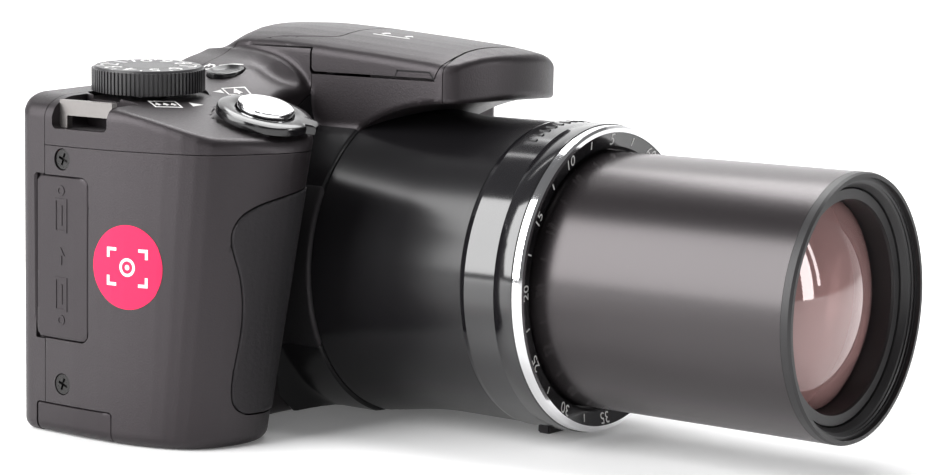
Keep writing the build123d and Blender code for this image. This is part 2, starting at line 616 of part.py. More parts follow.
for name, z in (("seek_button", AXIS_Z + 5.3), ("lock_button", AXIS_Z - 5.3)):
    with BuildPart() as framing_button:
        with BuildSketch(Plane(origin=(25.0, -46.5, z), x_dir=(0, 1, 0), z_dir=(1, 0, 0))):
            Circle(2.6)
        extrude(amount=1.75)
        fillet(framing_button.faces().sort_by(Axis.X)[-1].edges(), radius=0.4)
    framing_button.part.label = name
    export_step(framing_button.part, "parts/" + name + ".step")

# works inside the body -------------------------------------------------------------------------
with BuildPart() as chassis:
    add(block(-35.0, 38.0, 5.0, 6.0, 2.2, 47.0))
    with GridLocations(46, 30, 2, 2):
        with Locations((3.0, 5.5, 24.0)):
            Box(9, 4, 9, mode=Mode.SUBTRACT)
    with Locations((0, 5.5, AXIS_Z)):
        Box(20, 4, 16, mode=Mode.SUBTRACT)
chassis.part.label = "chassis"
export_step(chassis.part, "parts/chassis.step")

with BuildPart() as main_board:
    add(block(-33.0, 36.0, 6.8, 8.0, 4.0, 46.0))
main_board.part.label = "main_board"
export_step(main_board.part, "parts/main_board.step")

with BuildPart() as sensor_board:
    add(block(-16.0, 16.0, 3.2, 4.4, AXIS_Z - 13, AXIS_Z + 13))
sensor_board.part.label = "sensor_board"
export_step(sensor_board.part, "parts/sensor_board.step")

with BuildPart() as image_sensor:
    add(block(-6.0, 6.0, 1.8, 3.2, AXIS_Z - 5, AXIS_Z + 5))
image_sensor.part.label = "image_sensor"
export_step(image_sensor.part, "parts/image_sensor.step")

with BuildPart() as battery:
    with BuildSketch(Plane.XY.offset(3.0)):
        with Locations((-48.5, -5.5)):
            RectangleRounded(7.0, 33.8, 1.2)
    extrude(amount=41.5)
battery.part.label = "battery"
export_step(battery.part, "parts/battery.step")

with BuildPart() as battery_holder:
    add(block(-52.9, -52.15, -17.0, 9.0, 3.2, 45.6))
    add(block(-44.85, -44.1, -17.0, 9.0, 3.2, 45.6))
    add(block(-52.9, -44.1, -17.0, 9.0, 44.8, 45.6))
battery_holder.part.label = "battery_holder"
export_step(battery_holder.part, "parts/battery_holder.step")

with BuildPart() as memory_card:
    add(block(-42.5, -40.4, -18.0, 6.0, 4.0, 36.0))
memory_card.part.label = "memory_card"
export_step(memory_card.part, "parts/memory_card.step")

with BuildPart() as card_slot:
    add(block(-43.6, -42.7, -14.0, 5.0, 10.0, 37.4))
    add(block(-40.2, -39.3, -14.0, 5.0, 10.0, 37.4))
    add(block(-43.6, -39.3, -14.0, 5.0, 36.5, 37.4))
card_slot.part.label = "card_slot"
export_step(card_slot.part, "parts/card_slot.step")

with BuildPart() as flash_capacitor:
    with Locations((33.4, 0.0, 22.0)):
        Cylinder(radius=4.5, height=28)
    fillet(flash_capacitor.faces().filter_by(Axis.Z).edges(), radius=0.6)
flash_capacitor.part.label = "flash_capacitor"
export_step(flash_capacitor.part, "parts/flash_capacitor.step")

with BuildPart() as focus_lamp:
    with BuildSketch(Plane(origin=(34.8, FACE_Y + 1.9, 42.5), x_dir=(1, 0, 0), z_dir=(0, -1, 0))):
        Circle(3.0)
    extrude(amount=1.8)
    fillet(focus_lamp.faces().sort_by(Axis.Y)[0].edges(), radius=0.5)
focus_lamp.part.label = "focus_lamp"
export_step(focus_lamp.part, "parts/focus_lamp.step")

# pop-up flash -------------------------------------------------------------------------------------
with BuildPart() as flash_lid:
    add(outer)
    add(cavity, mode=Mode.SUBTRACT)
    add(lid_region, mode=Mode.INTERSECT)
    split(bisect_by=Plane(origin=(0, 2.9, 69.3), x_dir=(1, 0, 0), z_dir=(0, 0.7, 0.7)), keep=Keep.BOTTOM)
    for x in (-8.0, 3.0):
        with BuildSketch(Plane.YZ.offset(x)):
            with Locations((HINGE_Y, HINGE_Z)):
                Circle(1.0)
            with Locations((HINGE_Y - 1.0, HINGE_Z + 0.1)):
                Rectangle(1.4, 1.2)
        extrude(amount=5.0)
    with Locations(Plane(origin=(0, HINGE_Y, HINGE_Z), x_dir=(0, 1, 0), z_dir=(1, 0, 0))):
        Cylinder(radius=0.56, height=30, mode=Mode.SUBTRACT)
flash_lid.part.label = "flash_lid"
export_step(flash_lid.part, "parts/flash_lid.step")

with BuildPart() as flash_housing:
    add(cavity)
    add(block(-11.0, 11.0, -37.5, -21.0, 59.2, 70.0), mode=Mode.INTERSECT)
    add(block(-9.0, 9.0, -39.0, -30.5, 60.3, 63.4), mode=Mode.SUBTRACT)
flash_housing.part.label = "flash_housing"
export_step(flash_housing.part, "parts/flash_housing.step")

with BuildPart() as flash_window:
    add(block(-9.6, 9.6, -38.8, -37.55, 59.7, 64.0))
    fillet(flash_window.edges().filter_by(Axis.Y), radius=0.6)
flash_window.part.label = "flash_window"
export_step(flash_window.part, "parts/flash_window.step")

with BuildPart() as flash_tube:
    with Locations(Plane(origin=(0, -33.4, 61.85), x_dir=(0, 1, 0), z_dir=(1, 0, 0))):
        Cylinder(radius=1.1, height=16)
flash_tube.part.label = "flash_tube"
export_step(flash_tube.part, "parts/flash_tube.step")

with BuildPart() as flash_hinge_pin:
    with Locations(Plane(origin=(0, HINGE_Y, HINGE_Z), x_dir=(0, 1, 0), z_dir=(1, 0, 0))):
        Cylinder(radius=0.5, height=28.6)
flash_hinge_pin.part.label = "flash_hinge_pin"
export_step(flash_hinge_pin.part, "parts/flash_hinge_pin.step")

# top controls ------------------------------------------------------------------------------------------
with BuildPart() as mode_dial:
    with BuildSketch(dial_plane.offset(0.35)):
        Circle(DIAL_R)
        with PolarLocations(DIAL_R, 80):
            Rectangle(0.5, 0.34, mode=Mode.SUBTRACT)
    extrude(amount=DIAL_H - 0.35)
    with BuildSketch(dial_plane.offset(DIAL_H - 0.01)):
        Circle(DIAL_R - 0.35)
    extrude(amount=0.4, taper=35)
    with BuildSketch(dial_plane.offset(0.36)):
        Circle(3.0)
    extrude(amount=-5.0)
mode_dial.part.label = "mode_dial"
export_step(mode_dial.part, "parts/mode_dial.step")

with BuildPart() as zoom_lever:
    with BuildSketch(shut_plane.offset(0.3)):
        Circle(8.3)
        Circle(2.5, mode=Mode.SUBTRACT)
    extrude(amount=0.3)
    with BuildSketch(shut_plane.offset(0.55)):
        Circle(8.3)
        with Locations((-2.2, -8.1)):
            Rectangle(4.4, 3.4, rotation=-12)
        Circle(5.1, mode=Mode.SUBTRACT)
    extrude(amount=1.85)
zoom_lever.part.label = "zoom_lever"
export_step(zoom_lever.part, "parts/zoom_lever.step")

with BuildPart() as shutter_button:
    with BuildSketch(shut_plane.offset(1.75)):
        Circle(4.85)
    extrude(amount=1.0)
    with BuildSketch(shut_plane.offset(2.74)):
        Circle(4.85)
    extrude(amount=0.55, taper=60)
    with BuildSketch(shut_plane.offset(1.76)):
        Circle(2.4)
    extrude(amount=-5.2)
shutter_button.part.label = "shutter_button"
export_step(shutter_button.part, "parts/shutter_button.step")

with BuildPart() as power_button:
    with BuildSketch(power_plane.offset(-0.5)):
        Circle(3.4)
    extrude(amount=0.9)
    with BuildSketch(power_plane.offset(-0.49)):
        Circle(1.2)
    extrude(amount=-3.6)
power_button.part.label = "power_button"
export_step(power_button.part, "parts/power_button.step")

# rear controls --------------------------------------------------------------------------------------------
for name, (x, z, r) in REAR_BUTTONS.items():
    with BuildPart() as key:
        with BuildSketch(Plane(origin=(x, 11.55, z), x_dir=(-1, 0, 0), z_dir=(0, 1, 0))):
            Circle(r)
        extrude(amount=2.7)
        fillet(key.faces().sort_by(Axis.Y)[-1].edges(), radius=0.35)
        with BuildSketch(Plane(origin=(x, 11.0, z), x_dir=(-1, 0, 0), z_dir=(0, 1, 0))):
            Circle(r + 0.8)
        extrude(amount=0.6)
    key.part.label = name
    export_step(key.part, "parts/" + name + ".step")

pad_plane = Plane(origin=(PAD[0], 11.9, PAD[1]), x_dir=(-1, 0, 0), z_dir=(0, 1, 0))
with BuildPart() as control_pad:
    with BuildSketch(pad_plane):
        Circle(9.2)
        Circle(4.4, mode=Mode.SUBTRACT)
    extrude(amount=2.2)
    fillet(control_pad.faces().sort_by(Axis.Y)[-1].edges(), radius=0.4)
control_pad.part.label = "control_pad"
export_step(control_pad.part, "parts/control_pad.step")

with BuildPart() as set_button:
    with BuildSketch(pad_plane):
        Circle(4.2)
    extrude(amount=2.3)
    fillet(set_button.faces().sort_by(Axis.Y)[-1].edges(), radius=0.4)
set_button.part.label = "set_button"
export_step(set_button.part, "parts/set_button.step")
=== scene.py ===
import bpy, bmesh, math
import numpy as np
from mathutils import Vector, Matrix, Quaternion


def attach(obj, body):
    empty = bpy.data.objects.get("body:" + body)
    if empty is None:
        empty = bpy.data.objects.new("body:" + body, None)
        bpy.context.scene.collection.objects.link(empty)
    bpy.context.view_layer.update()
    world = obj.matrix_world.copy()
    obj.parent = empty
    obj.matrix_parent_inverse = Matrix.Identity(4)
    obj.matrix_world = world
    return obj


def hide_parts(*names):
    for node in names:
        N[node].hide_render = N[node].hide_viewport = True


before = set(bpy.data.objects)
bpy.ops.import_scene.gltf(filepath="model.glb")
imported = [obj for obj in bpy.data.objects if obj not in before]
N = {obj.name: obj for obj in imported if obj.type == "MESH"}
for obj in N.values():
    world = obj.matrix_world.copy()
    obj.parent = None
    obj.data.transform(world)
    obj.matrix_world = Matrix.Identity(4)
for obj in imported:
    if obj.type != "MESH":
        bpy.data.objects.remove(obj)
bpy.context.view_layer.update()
MM = 0.001
AZ = 27.7                      # lens axis height, mm

# ---------------------------------------------------------------- camera
A, E, ROLL = math.radians(-52.95), math.radians(6.89), math.radians(-1.24)
back = Vector((math.sin(A) * math.cos(E), -math.cos(A) * math.cos(E), math.sin(E)))
fwd = -back
right = fwd.cross(Vector((0, 0, 1))).normalized()
down = fwd.cross(right)
cx = right * math.cos(ROLL) + down * math.sin(ROLL)
cy = -right * math.sin(ROLL) + down * math.cos(ROLL)
cam_data = bpy.data.cameras.new("camera")
cam = bpy.data.objects.new("camera", cam_data)
bpy.context.scene.collection.objects.link(cam)
m = Matrix((cx, -cy, -fwd)).transposed().to_4x4()
m.translation = Vector((-0.347761, -0.299350, 0.084986))
cam.matrix_world = m
cam_data.sensor_width = 36.0
cam_data.lens = 36.0 * 2450.26 / 950
cam_data.clip_start = 0.01
bpy.context.scene.camera = cam

# ---------------------------------------------------------------- distance functions (mm)
def mx(*parts):
    d = parts[0]
    for p in parts[1:]:
        d = np.maximum(d, p)
    return d

def lerp(a, b, t):
    return a + (b - a) * t

def smin(a, b, k):
    h = np.maximum(k - np.abs(a - b), 0.0) / k
    return np.minimum(a, b) - h * h * k * 0.25

def smax(a, b, k):
    return -smin(-a, -b, k)

def rmax(a, b, r):
    # intersection with its edge rounded to radius r
    u, v = np.maximum(a + r, 0), np.maximum(b + r, 0)
    return np.minimum(np.maximum(a, b), -r) + np.sqrt(u * u + v * v)

def box2(x, y, x0, x1, y0, y1, r=0.0):
    qx = np.abs(x - (x0 + x1) / 2) - (x1 - x0) / 2 + r
    qy = np.abs(y - (y0 + y1) / 2) - (y1 - y0) / 2 + r
    return np.sqrt(np.maximum(qx, 0) ** 2 + np.maximum(qy, 0) ** 2) + np.minimum(np.maximum(qx, qy), 0) - r

def box3(x, y, z, b):
    qx = np.abs(x - (b[0] + b[1]) / 2) - (b[1] - b[0]) / 2
    qy = np.abs(y - (b[2] + b[3]) / 2) - (b[3] - b[2]) / 2
    qz = np.abs(z - (b[4] + b[5]) / 2) - (b[5] - b[4]) / 2
    return np.sqrt(np.maximum(qx, 0) ** 2 + np.maximum(qy, 0) ** 2 + np.maximum(qz, 0) ** 2) + np.minimum(np.maximum(np.maximum(qx, qy), qz), 0)

def cyl(x, y, z, o, n, r, lo, hi):
    # disc about the axis through o along n, between lo and hi along it
    n = np.array(n, float); n = n / np.linalg.norm(n)
    dx, dy, dz = x - o[0], y - o[1], z - o[2]
    t = dx * n[0] + dy * n[1] + dz * n[2]
    rr = np.sqrt(np.maximum(dx * dx + dy * dy + dz * dz - t * t, 0))
    return np.maximum(rr - r, np.maximum(lo - t, t - hi))

def shrink(poly, r):
    p = [np.array(q, float) for q in poly]
    area = sum(p[i][0] * p[(i + 1) % len(p)][1] - p[(i + 1) % len(p)][0] * p[i][1] for i in range(len(p)))
    s = 1.0 if area > 0 else -1.0
    out = []
    for i in range(len(p)):
        a, b, c = p[i - 1], p[i], p[(i + 1) % len(p)]
        u, v = (b - a) / np.linalg.norm(b - a), (c - b) / np.linalg.norm(c - b)
        n1, n2 = s * np.array([-u[1], u[0]]), s * np.array([-v[1], v[0]])
        k = r / (1 + n1 @ n2)
        out.append(b + (n1 + n2) * k)
    return out

def poly2(x, y, pts):
    # signed distance to a closed outline; each corner may be (array, array)
    d = None; inside = None
    n = len(pts)
    for i in range(n):
        ax, ay = pts[i]; bx, by = pts[(i + 1) % n]
        ex, ey = bx - ax, by - ay
        wx, wy = x - ax, y - ay
        t = np.clip((wx * ex + wy * ey) / (ex * ex + ey * ey), 0, 1)
        dx, dy = wx - ex * t, wy - ey * t
        q = dx * dx + dy * dy
        d = q if d is None else np.minimum(d, q)
        c1, c2, c3 = y >= ay, y < by, ex * wy > ey * wx
        flip = (c1 & c2 & c3) | (~c1 & ~c2 & ~c3)
        inside = flip if inside is None else inside ^ flip
    return np.where(inside, -1.0, 1.0) * np.sqrt(d)

GRIP_LOW = [(-62.6, 13.85), (-62.8, 0.0), (-62.4, -10.0), (-59.6, -19.8), (-54.6, -24.5), (-47.0, -26.0),
            (-41.0, -24.6), (-38.0, -20.5), (-35.5, -13.0), (-24.0, -8.0), (-24.0, 13.85)]
GRIP_TOP = [(-62.94, 13.85), (-62.96, 0.0), (-62.6, -9.0), (-58.4, -24.2), (-53.2, -27.2), (-46.0, -29.6),
            (-38.5, -30.8), (-33.2, -27.0), (-31.0, -15.0), (-24.0, -8.0), (-24.0, 13.85)]
R_CORNER = 3.2
def soften(pts, first, last):
    # cuts the corners between two points twice, the others stay
    for _ in range(2):
        q, n = [], len(pts)
        for i, c in enumerate(pts):
            if first <= i <= last:
                a, b = pts[i - 1], pts[(i + 1) % n]
                q += [0.75 * c + 0.25 * a, 0.75 * c + 0.25 * b]
            else:
                q.append(c)
        first, last, pts = first, first + 2 * (last - first) + 1, q
    return pts
LOW_S, TOP_S = soften(shrink(GRIP_LOW, R_CORNER), 2, 8), soften(shrink(GRIP_TOP, R_CORNER), 2, 8)

def plan(x, y, z):
    t = z / 49.4
    pts = [(lerp(a[0], b[0], t), lerp(a[1], b[1], t)) for a, b in zip(LOW_S, TOP_S)]
    g = poly2(x, y, pts) - R_CORNER
    b = box2(x, y, -40.0, 41.0, -11.5, 13.85, 3.2)
    return np.maximum(smin(g, b, 5.0), y - 13.85)

def curve(xs, ys, w=1.3):
    # a table smoothed over about w mm, ends continued straight
    g = np.arange(xs[0] - 8.0, xs[-1] + 8.0, 0.1)
    v = np.interp(g, xs, ys)
    k0 = (ys[1] - ys[0]) / (xs[1] - xs[0]); k1 = (ys[-1] - ys[-2]) / (xs[-1] - xs[-2])
    v = np.where(g < xs[0], ys[0] + k0 * (g - xs[0]), np.where(g > xs[-1], ys[-1] + k1 * (g - xs[-1]), v))
    t = np.arange(-int(w * 30), int(w * 30) + 1) * 0.1
    k = np.exp(-(t / w) ** 2 * 0.7); k /= k.sum()
    n = len(t) // 2
    pad = np.concatenate([v[0] + (v[1] - v[0]) * np.arange(-n, 0), v, v[-1] + (v[-1] - v[-2]) * np.arange(1, n + 1)])
    sm = np.convolve(pad, k, "valid")
    return lambda q: np.interp(q, g, sm)

ROOF = curve([-46.5, -44.5, -41, -38, -26, -12, -2, 6.5, 9.5, 13.85],
             [65.2, 65.9, 66.55, 66.95, 67.95, 68.95, 69.48, 69.3, 68.1, 65.0], 1.0)
RIDGE = curve([-13.4, -12.7, -11.4, -9.8, -7.8, -5.4, -2.6, 1.1, 8.3, 13.85],
              [52.5, 55.5, 58.1, 60.0, 61.6, 62.8, 63.7, 64.3, 64.8, 64.3], 1.2)
WIDE = curve([-13.5, -11, -6, 0, 6, 14], [1.6, 2.6, 4.4, 5.5, 6.0, 6.0], 2.0)
UNDER = curve([-46.5, -45.6, -44, -38, -33.5, -29.4, -25, -22, -21], [58.2, 57.5, 57.25, 56.95, 56.1, 54.9, 53.0, 51.0, 50.0], 1.0)

def hump_roof(y):
    return ROOF(y)

def crown(x):
    a = np.abs(x)
    return np.interp(a, [0, 3, 6, 9, 12, 14, 16, 18], [0, 0.05, 0.25, 0.7, 1.55, 2.35, 3.35, 4.6])

def ridge_z(y):
    return RIDGE(y)

def plate(x, y):
    a = 57.6 + 0.0524 * (x + 45) + 0.0410 * (y + 12.6)
    b = 57.7 + 0.0699 * (x + 45) + 0.3057 * (y + 9.5)
    left = smin(a, b, 3.0)
    xm = -smax(-x, 22.5, 2.5)
    rise = np.maximum(xm + 37.0, 0) ** 2 * 0.0155 * np.clip((y + 12.5) / 9.0, 0, 1)
    left = left + np.minimum(rise, 4.0)
    left = left - 1.5 * np.exp(-((x + 19.5) / 3.2) ** 2 - ((y + 5.5) / 5.0) ** 2)
    right_side = np.interp(x, [16, 20, 24, 30, 37, 41], [60.2, 59.6, 59.0, 57.9, 56.5, 55.0]) + np.minimum(0, 0.22 * (y + 6))
    w = np.clip((x + 4) / 12, 0, 1)
    return lerp(left, right_side, w * w * (3 - 2 * w))

def ztop(x, y):
    p = plate(x, y)
    # bowl between the top plate and the hump, behind the vertical wall
    wide = np.maximum(WIDE(y), 1.2)
    lean = 1.1
    xr = -16.0 - lean
    rz = ridge_z(y)
    hgt = np.maximum(rz - p, 0)
    t = np.clip((xr - x) / wide, 0, 1)
    bowl = p + hgt * (1 - t) ** 2.3
    shelf = np.minimum(rz + (x - xr) * 0.35, np.maximum(hump_roof(y) - 4.5, rz))
    left = np.where(x < xr, bowl, shelf)
    # free side: plain concave sweep
    wide_r = 11.0
    hr = np.maximum(hump_roof(y) - 5.5 - p, 0)
    tr = np.clip((x - 16.0) / wide_r, 0, 1)
    sweep = p + hr * (1 - tr) ** 2.4
    side = np.where(x < 0, left, sweep)
    fade = np.clip((y + 14.5) / 2.0, 0, 1)
    return np.where(np.abs(x) < 40, lerp(p, np.maximum(p, side), fade), p)

def under(y):
    return UNDER(y)

def hump(x, y, z, r_edge=1.1):
    half = 16.0 + 0 * y
    nose = 0.0165 * x * x
    front = -46.5 + nose
    d2 = rmax(np.abs(x) - half, front - y, 2.2)
    d2 = np.maximum(d2, y - 13.85)
    top = (z - (hump_roof(y) - crown(x))) * 0.97
    d = rmax(d2, top, r_edge)
    low = (under(y) - z) * 0.93
    return rmax(d, low, 0.7)

def body_form(x, y, z):
    d2 = plan(x, y, z)
    zt = ztop(x, y)
    chamf1 = (z - (57.3 + 0.6627 * (x + 60.2))) * 0.8336
    chamf2 = (z - (52.2 + 1.3333 * (y + 29.6))) * 0.6
    rear = (y - 10.6) * 0.66 + (z - 67.6) * 0.75
    top = (z - zt) * 0.93
    top = smax(top, chamf1, 1.1)
    top = smax(top, chamf2, 2.2)
    d = rmax(d2, top, 1.3)
    return rmax(d, -z, 2.0)

def radial(x, z):
    return np.sqrt(x * x + (z - AZ) ** 2)

def shroud_form(x, y, z):
    r = radial(x, z)
    d = rmax(r - 28.9, -22.5 - y, 0.45)
    d = np.maximum(d, y + 8.0)
    return rmax(d, -z, 0.4)

def outer(x, y, z):
    b = body_form(x, y, z)
    h = hump(x, y, z)
    s = shroud_form(x, y, z)
    k = smin(b, s, 3.0)
    return np.maximum(smin(k, h, 0.9), -z)

# ---------------------------------------------------------------- meshing by dual contouring
def contour(f, lo, hi, h):
    ax = [np.arange(lo[i] - 1.51 * h, hi[i] + 1.5 * h, h) for i in range(3)]
    nx, ny, nz = map(len, ax)
    V = np.empty((nx, ny, nz), np.float32)
    step = 24
    for s in range(0, nx, step):
        X, Y, Z = ax[0][s:s + step, None, None], ax[1][None, :, None], ax[2][None, None, :]
        V[s:s + step] = np.broadcast_to(f(X, Y, Z), (len(ax[0][s:s + step]), ny, nz))
    neg = V < 0
    P, cells_of, flips = [], [], []
    for a in range(3):
        sl0, sl1 = [slice(None)] * 3, [slice(None)] * 3
        sl0[a], sl1[a] = slice(0, -1), slice(1, None)
        cross = neg[tuple(sl0)] != neg[tuple(sl1)]
        b, c = (a + 1) % 3, (a + 2) % 3
        for o in (b, c):
            edge = [slice(None)] * 3; edge[o] = 0; cross[tuple(edge)] = False
            edge[o] = -1; cross[tuple(edge)] = False
        I = np.array(np.nonzero(cross)).T
        if not len(I):
            continue
        J = I.copy(); J[:, a] += 1
        p0 = np.stack([ax[i][I[:, i]] for i in range(3)], 1)
        v0 = V[I[:, 0], I[:, 1], I[:, 2]].astype(float); v1 = V[J[:, 0], J[:, 1], J[:, 2]].astype(float)
        lo_t, hi_t = np.zeros(len(I)), np.ones(len(I))
        t = v0 / (v0 - v1)
        for _ in range(4):
            q = p0.copy(); q[:, a] += t * h
            v = f(q[:, 0], q[:, 1], q[:, 2])
            same = (v < 0) == (v0 < 0)
            lo_t = np.where(same, t, lo_t); hi_t = np.where(same, hi_t, t)
            v0x = np.where(same, v, v0); v1x = np.where(same, v1, v)
            v0, v1 = v0x, v1x
            t = lo_t + (hi_t - lo_t) * np.clip(v0 / (v0 - v1 + 1e-12), 0.05, 0.95)
        q = p0.copy(); q[:, a] += t * h
        P.append(q)
        quad = []
        for ob, oc in ((0, 0), (-1, 0), (-1, -1), (0, -1)):
            K = I.copy(); K[:, b] += ob; K[:, c] += oc
            quad.append((K[:, 0] * ny + K[:, 1]) * nz + K[:, 2])
        cells_of.append(np.stack(quad, 1))
        flips.append(~neg[I[:, 0], I[:, 1], I[:, 2]])
    P = np.concatenate(P); C = np.concatenate(cells_of); F = np.concatenate(flips)
    e = 0.03
    g = np.stack([f(P[:, 0] + e, P[:, 1], P[:, 2]) - f(P[:, 0] - e, P[:, 1], P[:, 2]),
                  f(P[:, 0], P[:, 1] + e, P[:, 2]) - f(P[:, 0], P[:, 1] - e, P[:, 2]),
                  f(P[:, 0], P[:, 1], P[:, 2] + e) - f(P[:, 0], P[:, 1], P[:, 2] - e)], 1)
    g /= np.linalg.norm(g, axis=1)[:, None] + 1e-12
    ids, inv = np.unique(C.ravel(), return_inverse=True)
    inv = inv.reshape(-1)
    rep = np.repeat(np.arange(len(P)), 4)
    n = len(ids)
    cnt = np.bincount(inv, minlength=n).astype(float)
    mean = np.stack([np.bincount(inv, P[rep, i], n) for i in range(3)], 1) / cnt[:, None]
    G, Q = g[rep], P[rep]
    d = np.einsum("ij,ij->i", G, Q - mean[inv])
    M = np.empty((n, 3, 3)); rhs = np.empty((n, 3))
    for i in range(3):
        rhs[:, i] = np.bincount(inv, G[:, i] * d, n)
        for j in range(3):
            M[:, i, j] = np.bincount(inv, G[:, i] * G[:, j], n)
    M[:, range(3), range(3)] += 0.035
    off = np.linalg.solve(M, rhs[:, :, None])[:, :, 0]
    cell = np.stack([ids // (ny * nz), (ids // nz) % ny, ids % nz], 1)
    low = np.stack([ax[i][cell[:, i]] for i in range(3)], 1)
    verts = np.clip(mean + off, low - 0.1 * h, low + 1.1 * h)
    faces = inv.reshape(-1, 4)
    faces = np.where(F[:, None], faces[:, ::-1], faces)
    return verts, faces

def mesh_object(name, verts, faces, sharp=38.0, body="root", scale=MM):
    me = bpy.data.meshes.new(name)
    verts = np.asarray(verts, float) * scale
    faces = np.asarray(faces)
    me.vertices.add(len(verts)); me.vertices.foreach_set("co", verts.astype(np.float32).ravel())
    k = faces.shape[1]
    me.loops.add(faces.size); me.loops.foreach_set("vertex_index", faces.astype(np.int32).ravel())
    me.polygons.add(len(faces)); me.polygons.foreach_set("loop_start", np.arange(0, faces.size, k, dtype=np.int32))
    me.update(calc_edges=True); me.validate()
    ob = bpy.data.objects.new(name, me)
    bpy.context.scene.collection.objects.link(ob)
    smooth(ob, sharp)
    if body:
        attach(ob, body)
    return ob

def smooth(ob, angle=38.0):
    me = ob.data
    me.polygons.foreach_set("use_smooth", np.ones(len(me.polygons), bool))
    bm = bmesh.new(); bm.from_mesh(me)
    lim = math.radians(angle)
    for e in bm.edges:
        e.smooth = not (len(e.link_faces) != 2 or e.calc_face_angle(0) > lim)
    bm.to_mesh(me); bm.free()
    me.update()

def thin(ob, ratio):
    mod = ob.modifiers.new("thin", "DECIMATE"); mod.ratio = ratio
    dg = bpy.context.evaluated_depsgraph_get()
    me = bpy.data.meshes.new_from_object(ob.evaluated_get(dg))
    ob.modifiers.clear()
    old = ob.data; ob.data = me; bpy.data.meshes.remove(old)
    smooth(ob)

# ---------------------------------------------------------------- shells
G = 0.06
R_BORE = 25.3
H = 0.5

def bore(x, y, z):
    return np.maximum(radial(x, z) - R_BORE, y - 5.2)

TOP_Z = 49.4
def top_zone(x, y, z, g):
    a = np.maximum(np.maximum((-11.5 + g) - y, y - (7.0 - g)), TOP_Z + g - z)
    b = np.maximum(np.maximum(x - (-22.0 - g), y - (-10.5)), TOP_Z + g - z)
    c = mx(-14.6 + g - y, y + 9.0, np.abs(x) - 13.5, 64.8 + g - z)
    return np.minimum(np.minimum(a, b), c)

def panel_zone(x, y, z):
    # the fixed part of the roof between the arms of the lid
    sides = (np.abs(x) - (11.8 + (y + 12.0) * 0.206)) * 0.98
    return np.maximum(rmax(sides, -14.25 - y, 2.0), 60.0 - z)

def lid_zone(x, y, z, g):
    bot = 61.2 + np.maximum(0, -(y + 39.3)) * 2.2
    a = rmax(np.maximum((-40.75 + g) - y, y - (-11.35 - 1.4 * g)), bot + 1.7 * g - z, 0.9)
    b = mx(-12.5 - y, (y - (0.6 - g) - (np.abs(x) - 14.7) * 2.9) * 0.33, 65.55 + g - z)
    return np.maximum(np.minimum(a, b), -(panel_zone(x, y, z) - g))

def nose_zone(x, y, z, g):
    return np.maximum(np.maximum(y - (-41.05 - g), 55 - z), np.abs(x) - 18)

RUBBER = [(-49.6, 5.9), (-51.3, 7.6), (-51.6, 10.5), (-51.2, 14.0), (-50.3, 19.0), (-50.1, 24.0), (-50.9, 29.0), (-52.2, 32.5), (-52.9, 35.2),
           (-52.6, 37.4), (-51.2, 39.4), (-48.6, 40.8), (-44.9, 41.8), (-40.0, 42.7), (-35.0, 43.4), (-29.0, 44.1), (-24.0, 44.4), (-24.0, 5.0), (-47.0, 5.2)]
for _ in range(2):
    q = []
    for i in range(len(RUBBER)):
        a, b = RUBBER[i], RUBBER[(i + 1) % len(RUBBER)]
        q += [(0.75 * a[0] + 0.25 * b[0], 0.75 * a[1] + 0.25 * b[1]), (0.25 * a[0] + 0.75 * b[0], 0.25 * a[1] + 0.75 * b[1])]
    RUBBER = q

def rubber_zone(x, z, g):
    return poly2(x, z, RUBBER) + g

def side_wells(x, y, z):
    a = np.maximum(box2(y, z, -3.35, 9.25, 16.45, 44.45, 1.75), x - (-61.55))
    b = np.maximum(box2(y, z, -8.55, 9.2, 0.05 - 3, 5.4, 0.8), x - (-60.6))
    c = np.minimum(box3(x, y, z, (-64, -60.5, -0.6, 6.6, 21.2, 25.3)), box3(x, y, z, (-64, -60.5, -0.6, 6.6, 33.2, 37.3)))
    return np.minimum(np.minimum(a, b), c)

SIDE_SCREWS = [(-62.9, 2.8, 47.2, -1), (-62.9, 2.8, 8.9, -1), (41.0, 2.8, 44.0, 1), (41.0, 2.8, 10.0, 1)]
def screw_wells(x, y, z):
    d = None
    for sx, sy, sz, s in SIDE_SCREWS:
        q = cyl(x, y, z, (sx, sy, sz), (s, 0, 0), 1.86, -1.35, 3)
        q = np.minimum(q, cyl(x, y, z, (sx, sy, sz), (s, 0, 0), 1.0, -5.0, 3))
        d = q if d is None else np.minimum(d, q)
    return d

def base_wells(x, y, z):
    p = np.maximum(plan(x, y, 1.0 + 0 * z) + 2.05, z - 1.9)
    bay = box3(x, y, z, (-55.2, -39.0, -19.5, 9.7, -2, 46.5))
    slot = box3(x, y, z, (-57.9, -54.9, -16.4, 9.0, -2, 4.0))
    socket = cyl(x, y, z, (0, 0, 0), (0, 0, 1), 4.4, -1, 7.0)
    return np.minimum(np.minimum(p, bay), np.minimum(slot, socket))

def strap_wells(x, y, z):
    a = np.maximum(np.maximum(box2(y, z, -7.3, 5.2, 52.3, 70, 0.9), x - (-54.9)), -64 - x)
    b = np.maximum(np.maximum(box2(y, z, -6.2, 6.2, 49.7, 70, 0.9), 33.3 - x), x - 43)
    return np.minimum(a, b)

def front_keep(x, y, z):
    return mx(outer(x, y, z), y - (7.0 - G), -top_zone(x, y, z, -G), -lid_zone(x, y, z, -0.2), -nose_zone(x, y, z, -G), -bore(x, y, z))

def front_cover(x, y, z):
    d = front_keep(x, y, z)
    d = np.maximum(d, -side_wells(x, y, z))
    d = np.maximum(d, -screw_wells(x, y, z))
    d = np.maximum(d, -base_wells(x, y, z))
    rub = np.maximum(rubber_zone(x, z, -0.12), y + 11.9)
    d = np.maximum(d, -np.maximum(rub, -(outer(x, y, z) + 1.0)))
    lamp = cyl(x, y, z, (34.8, -11.5, 42.5), (0, -1, 0), 3.12, -2.0, 3)
    return np.maximum(d, -lamp)

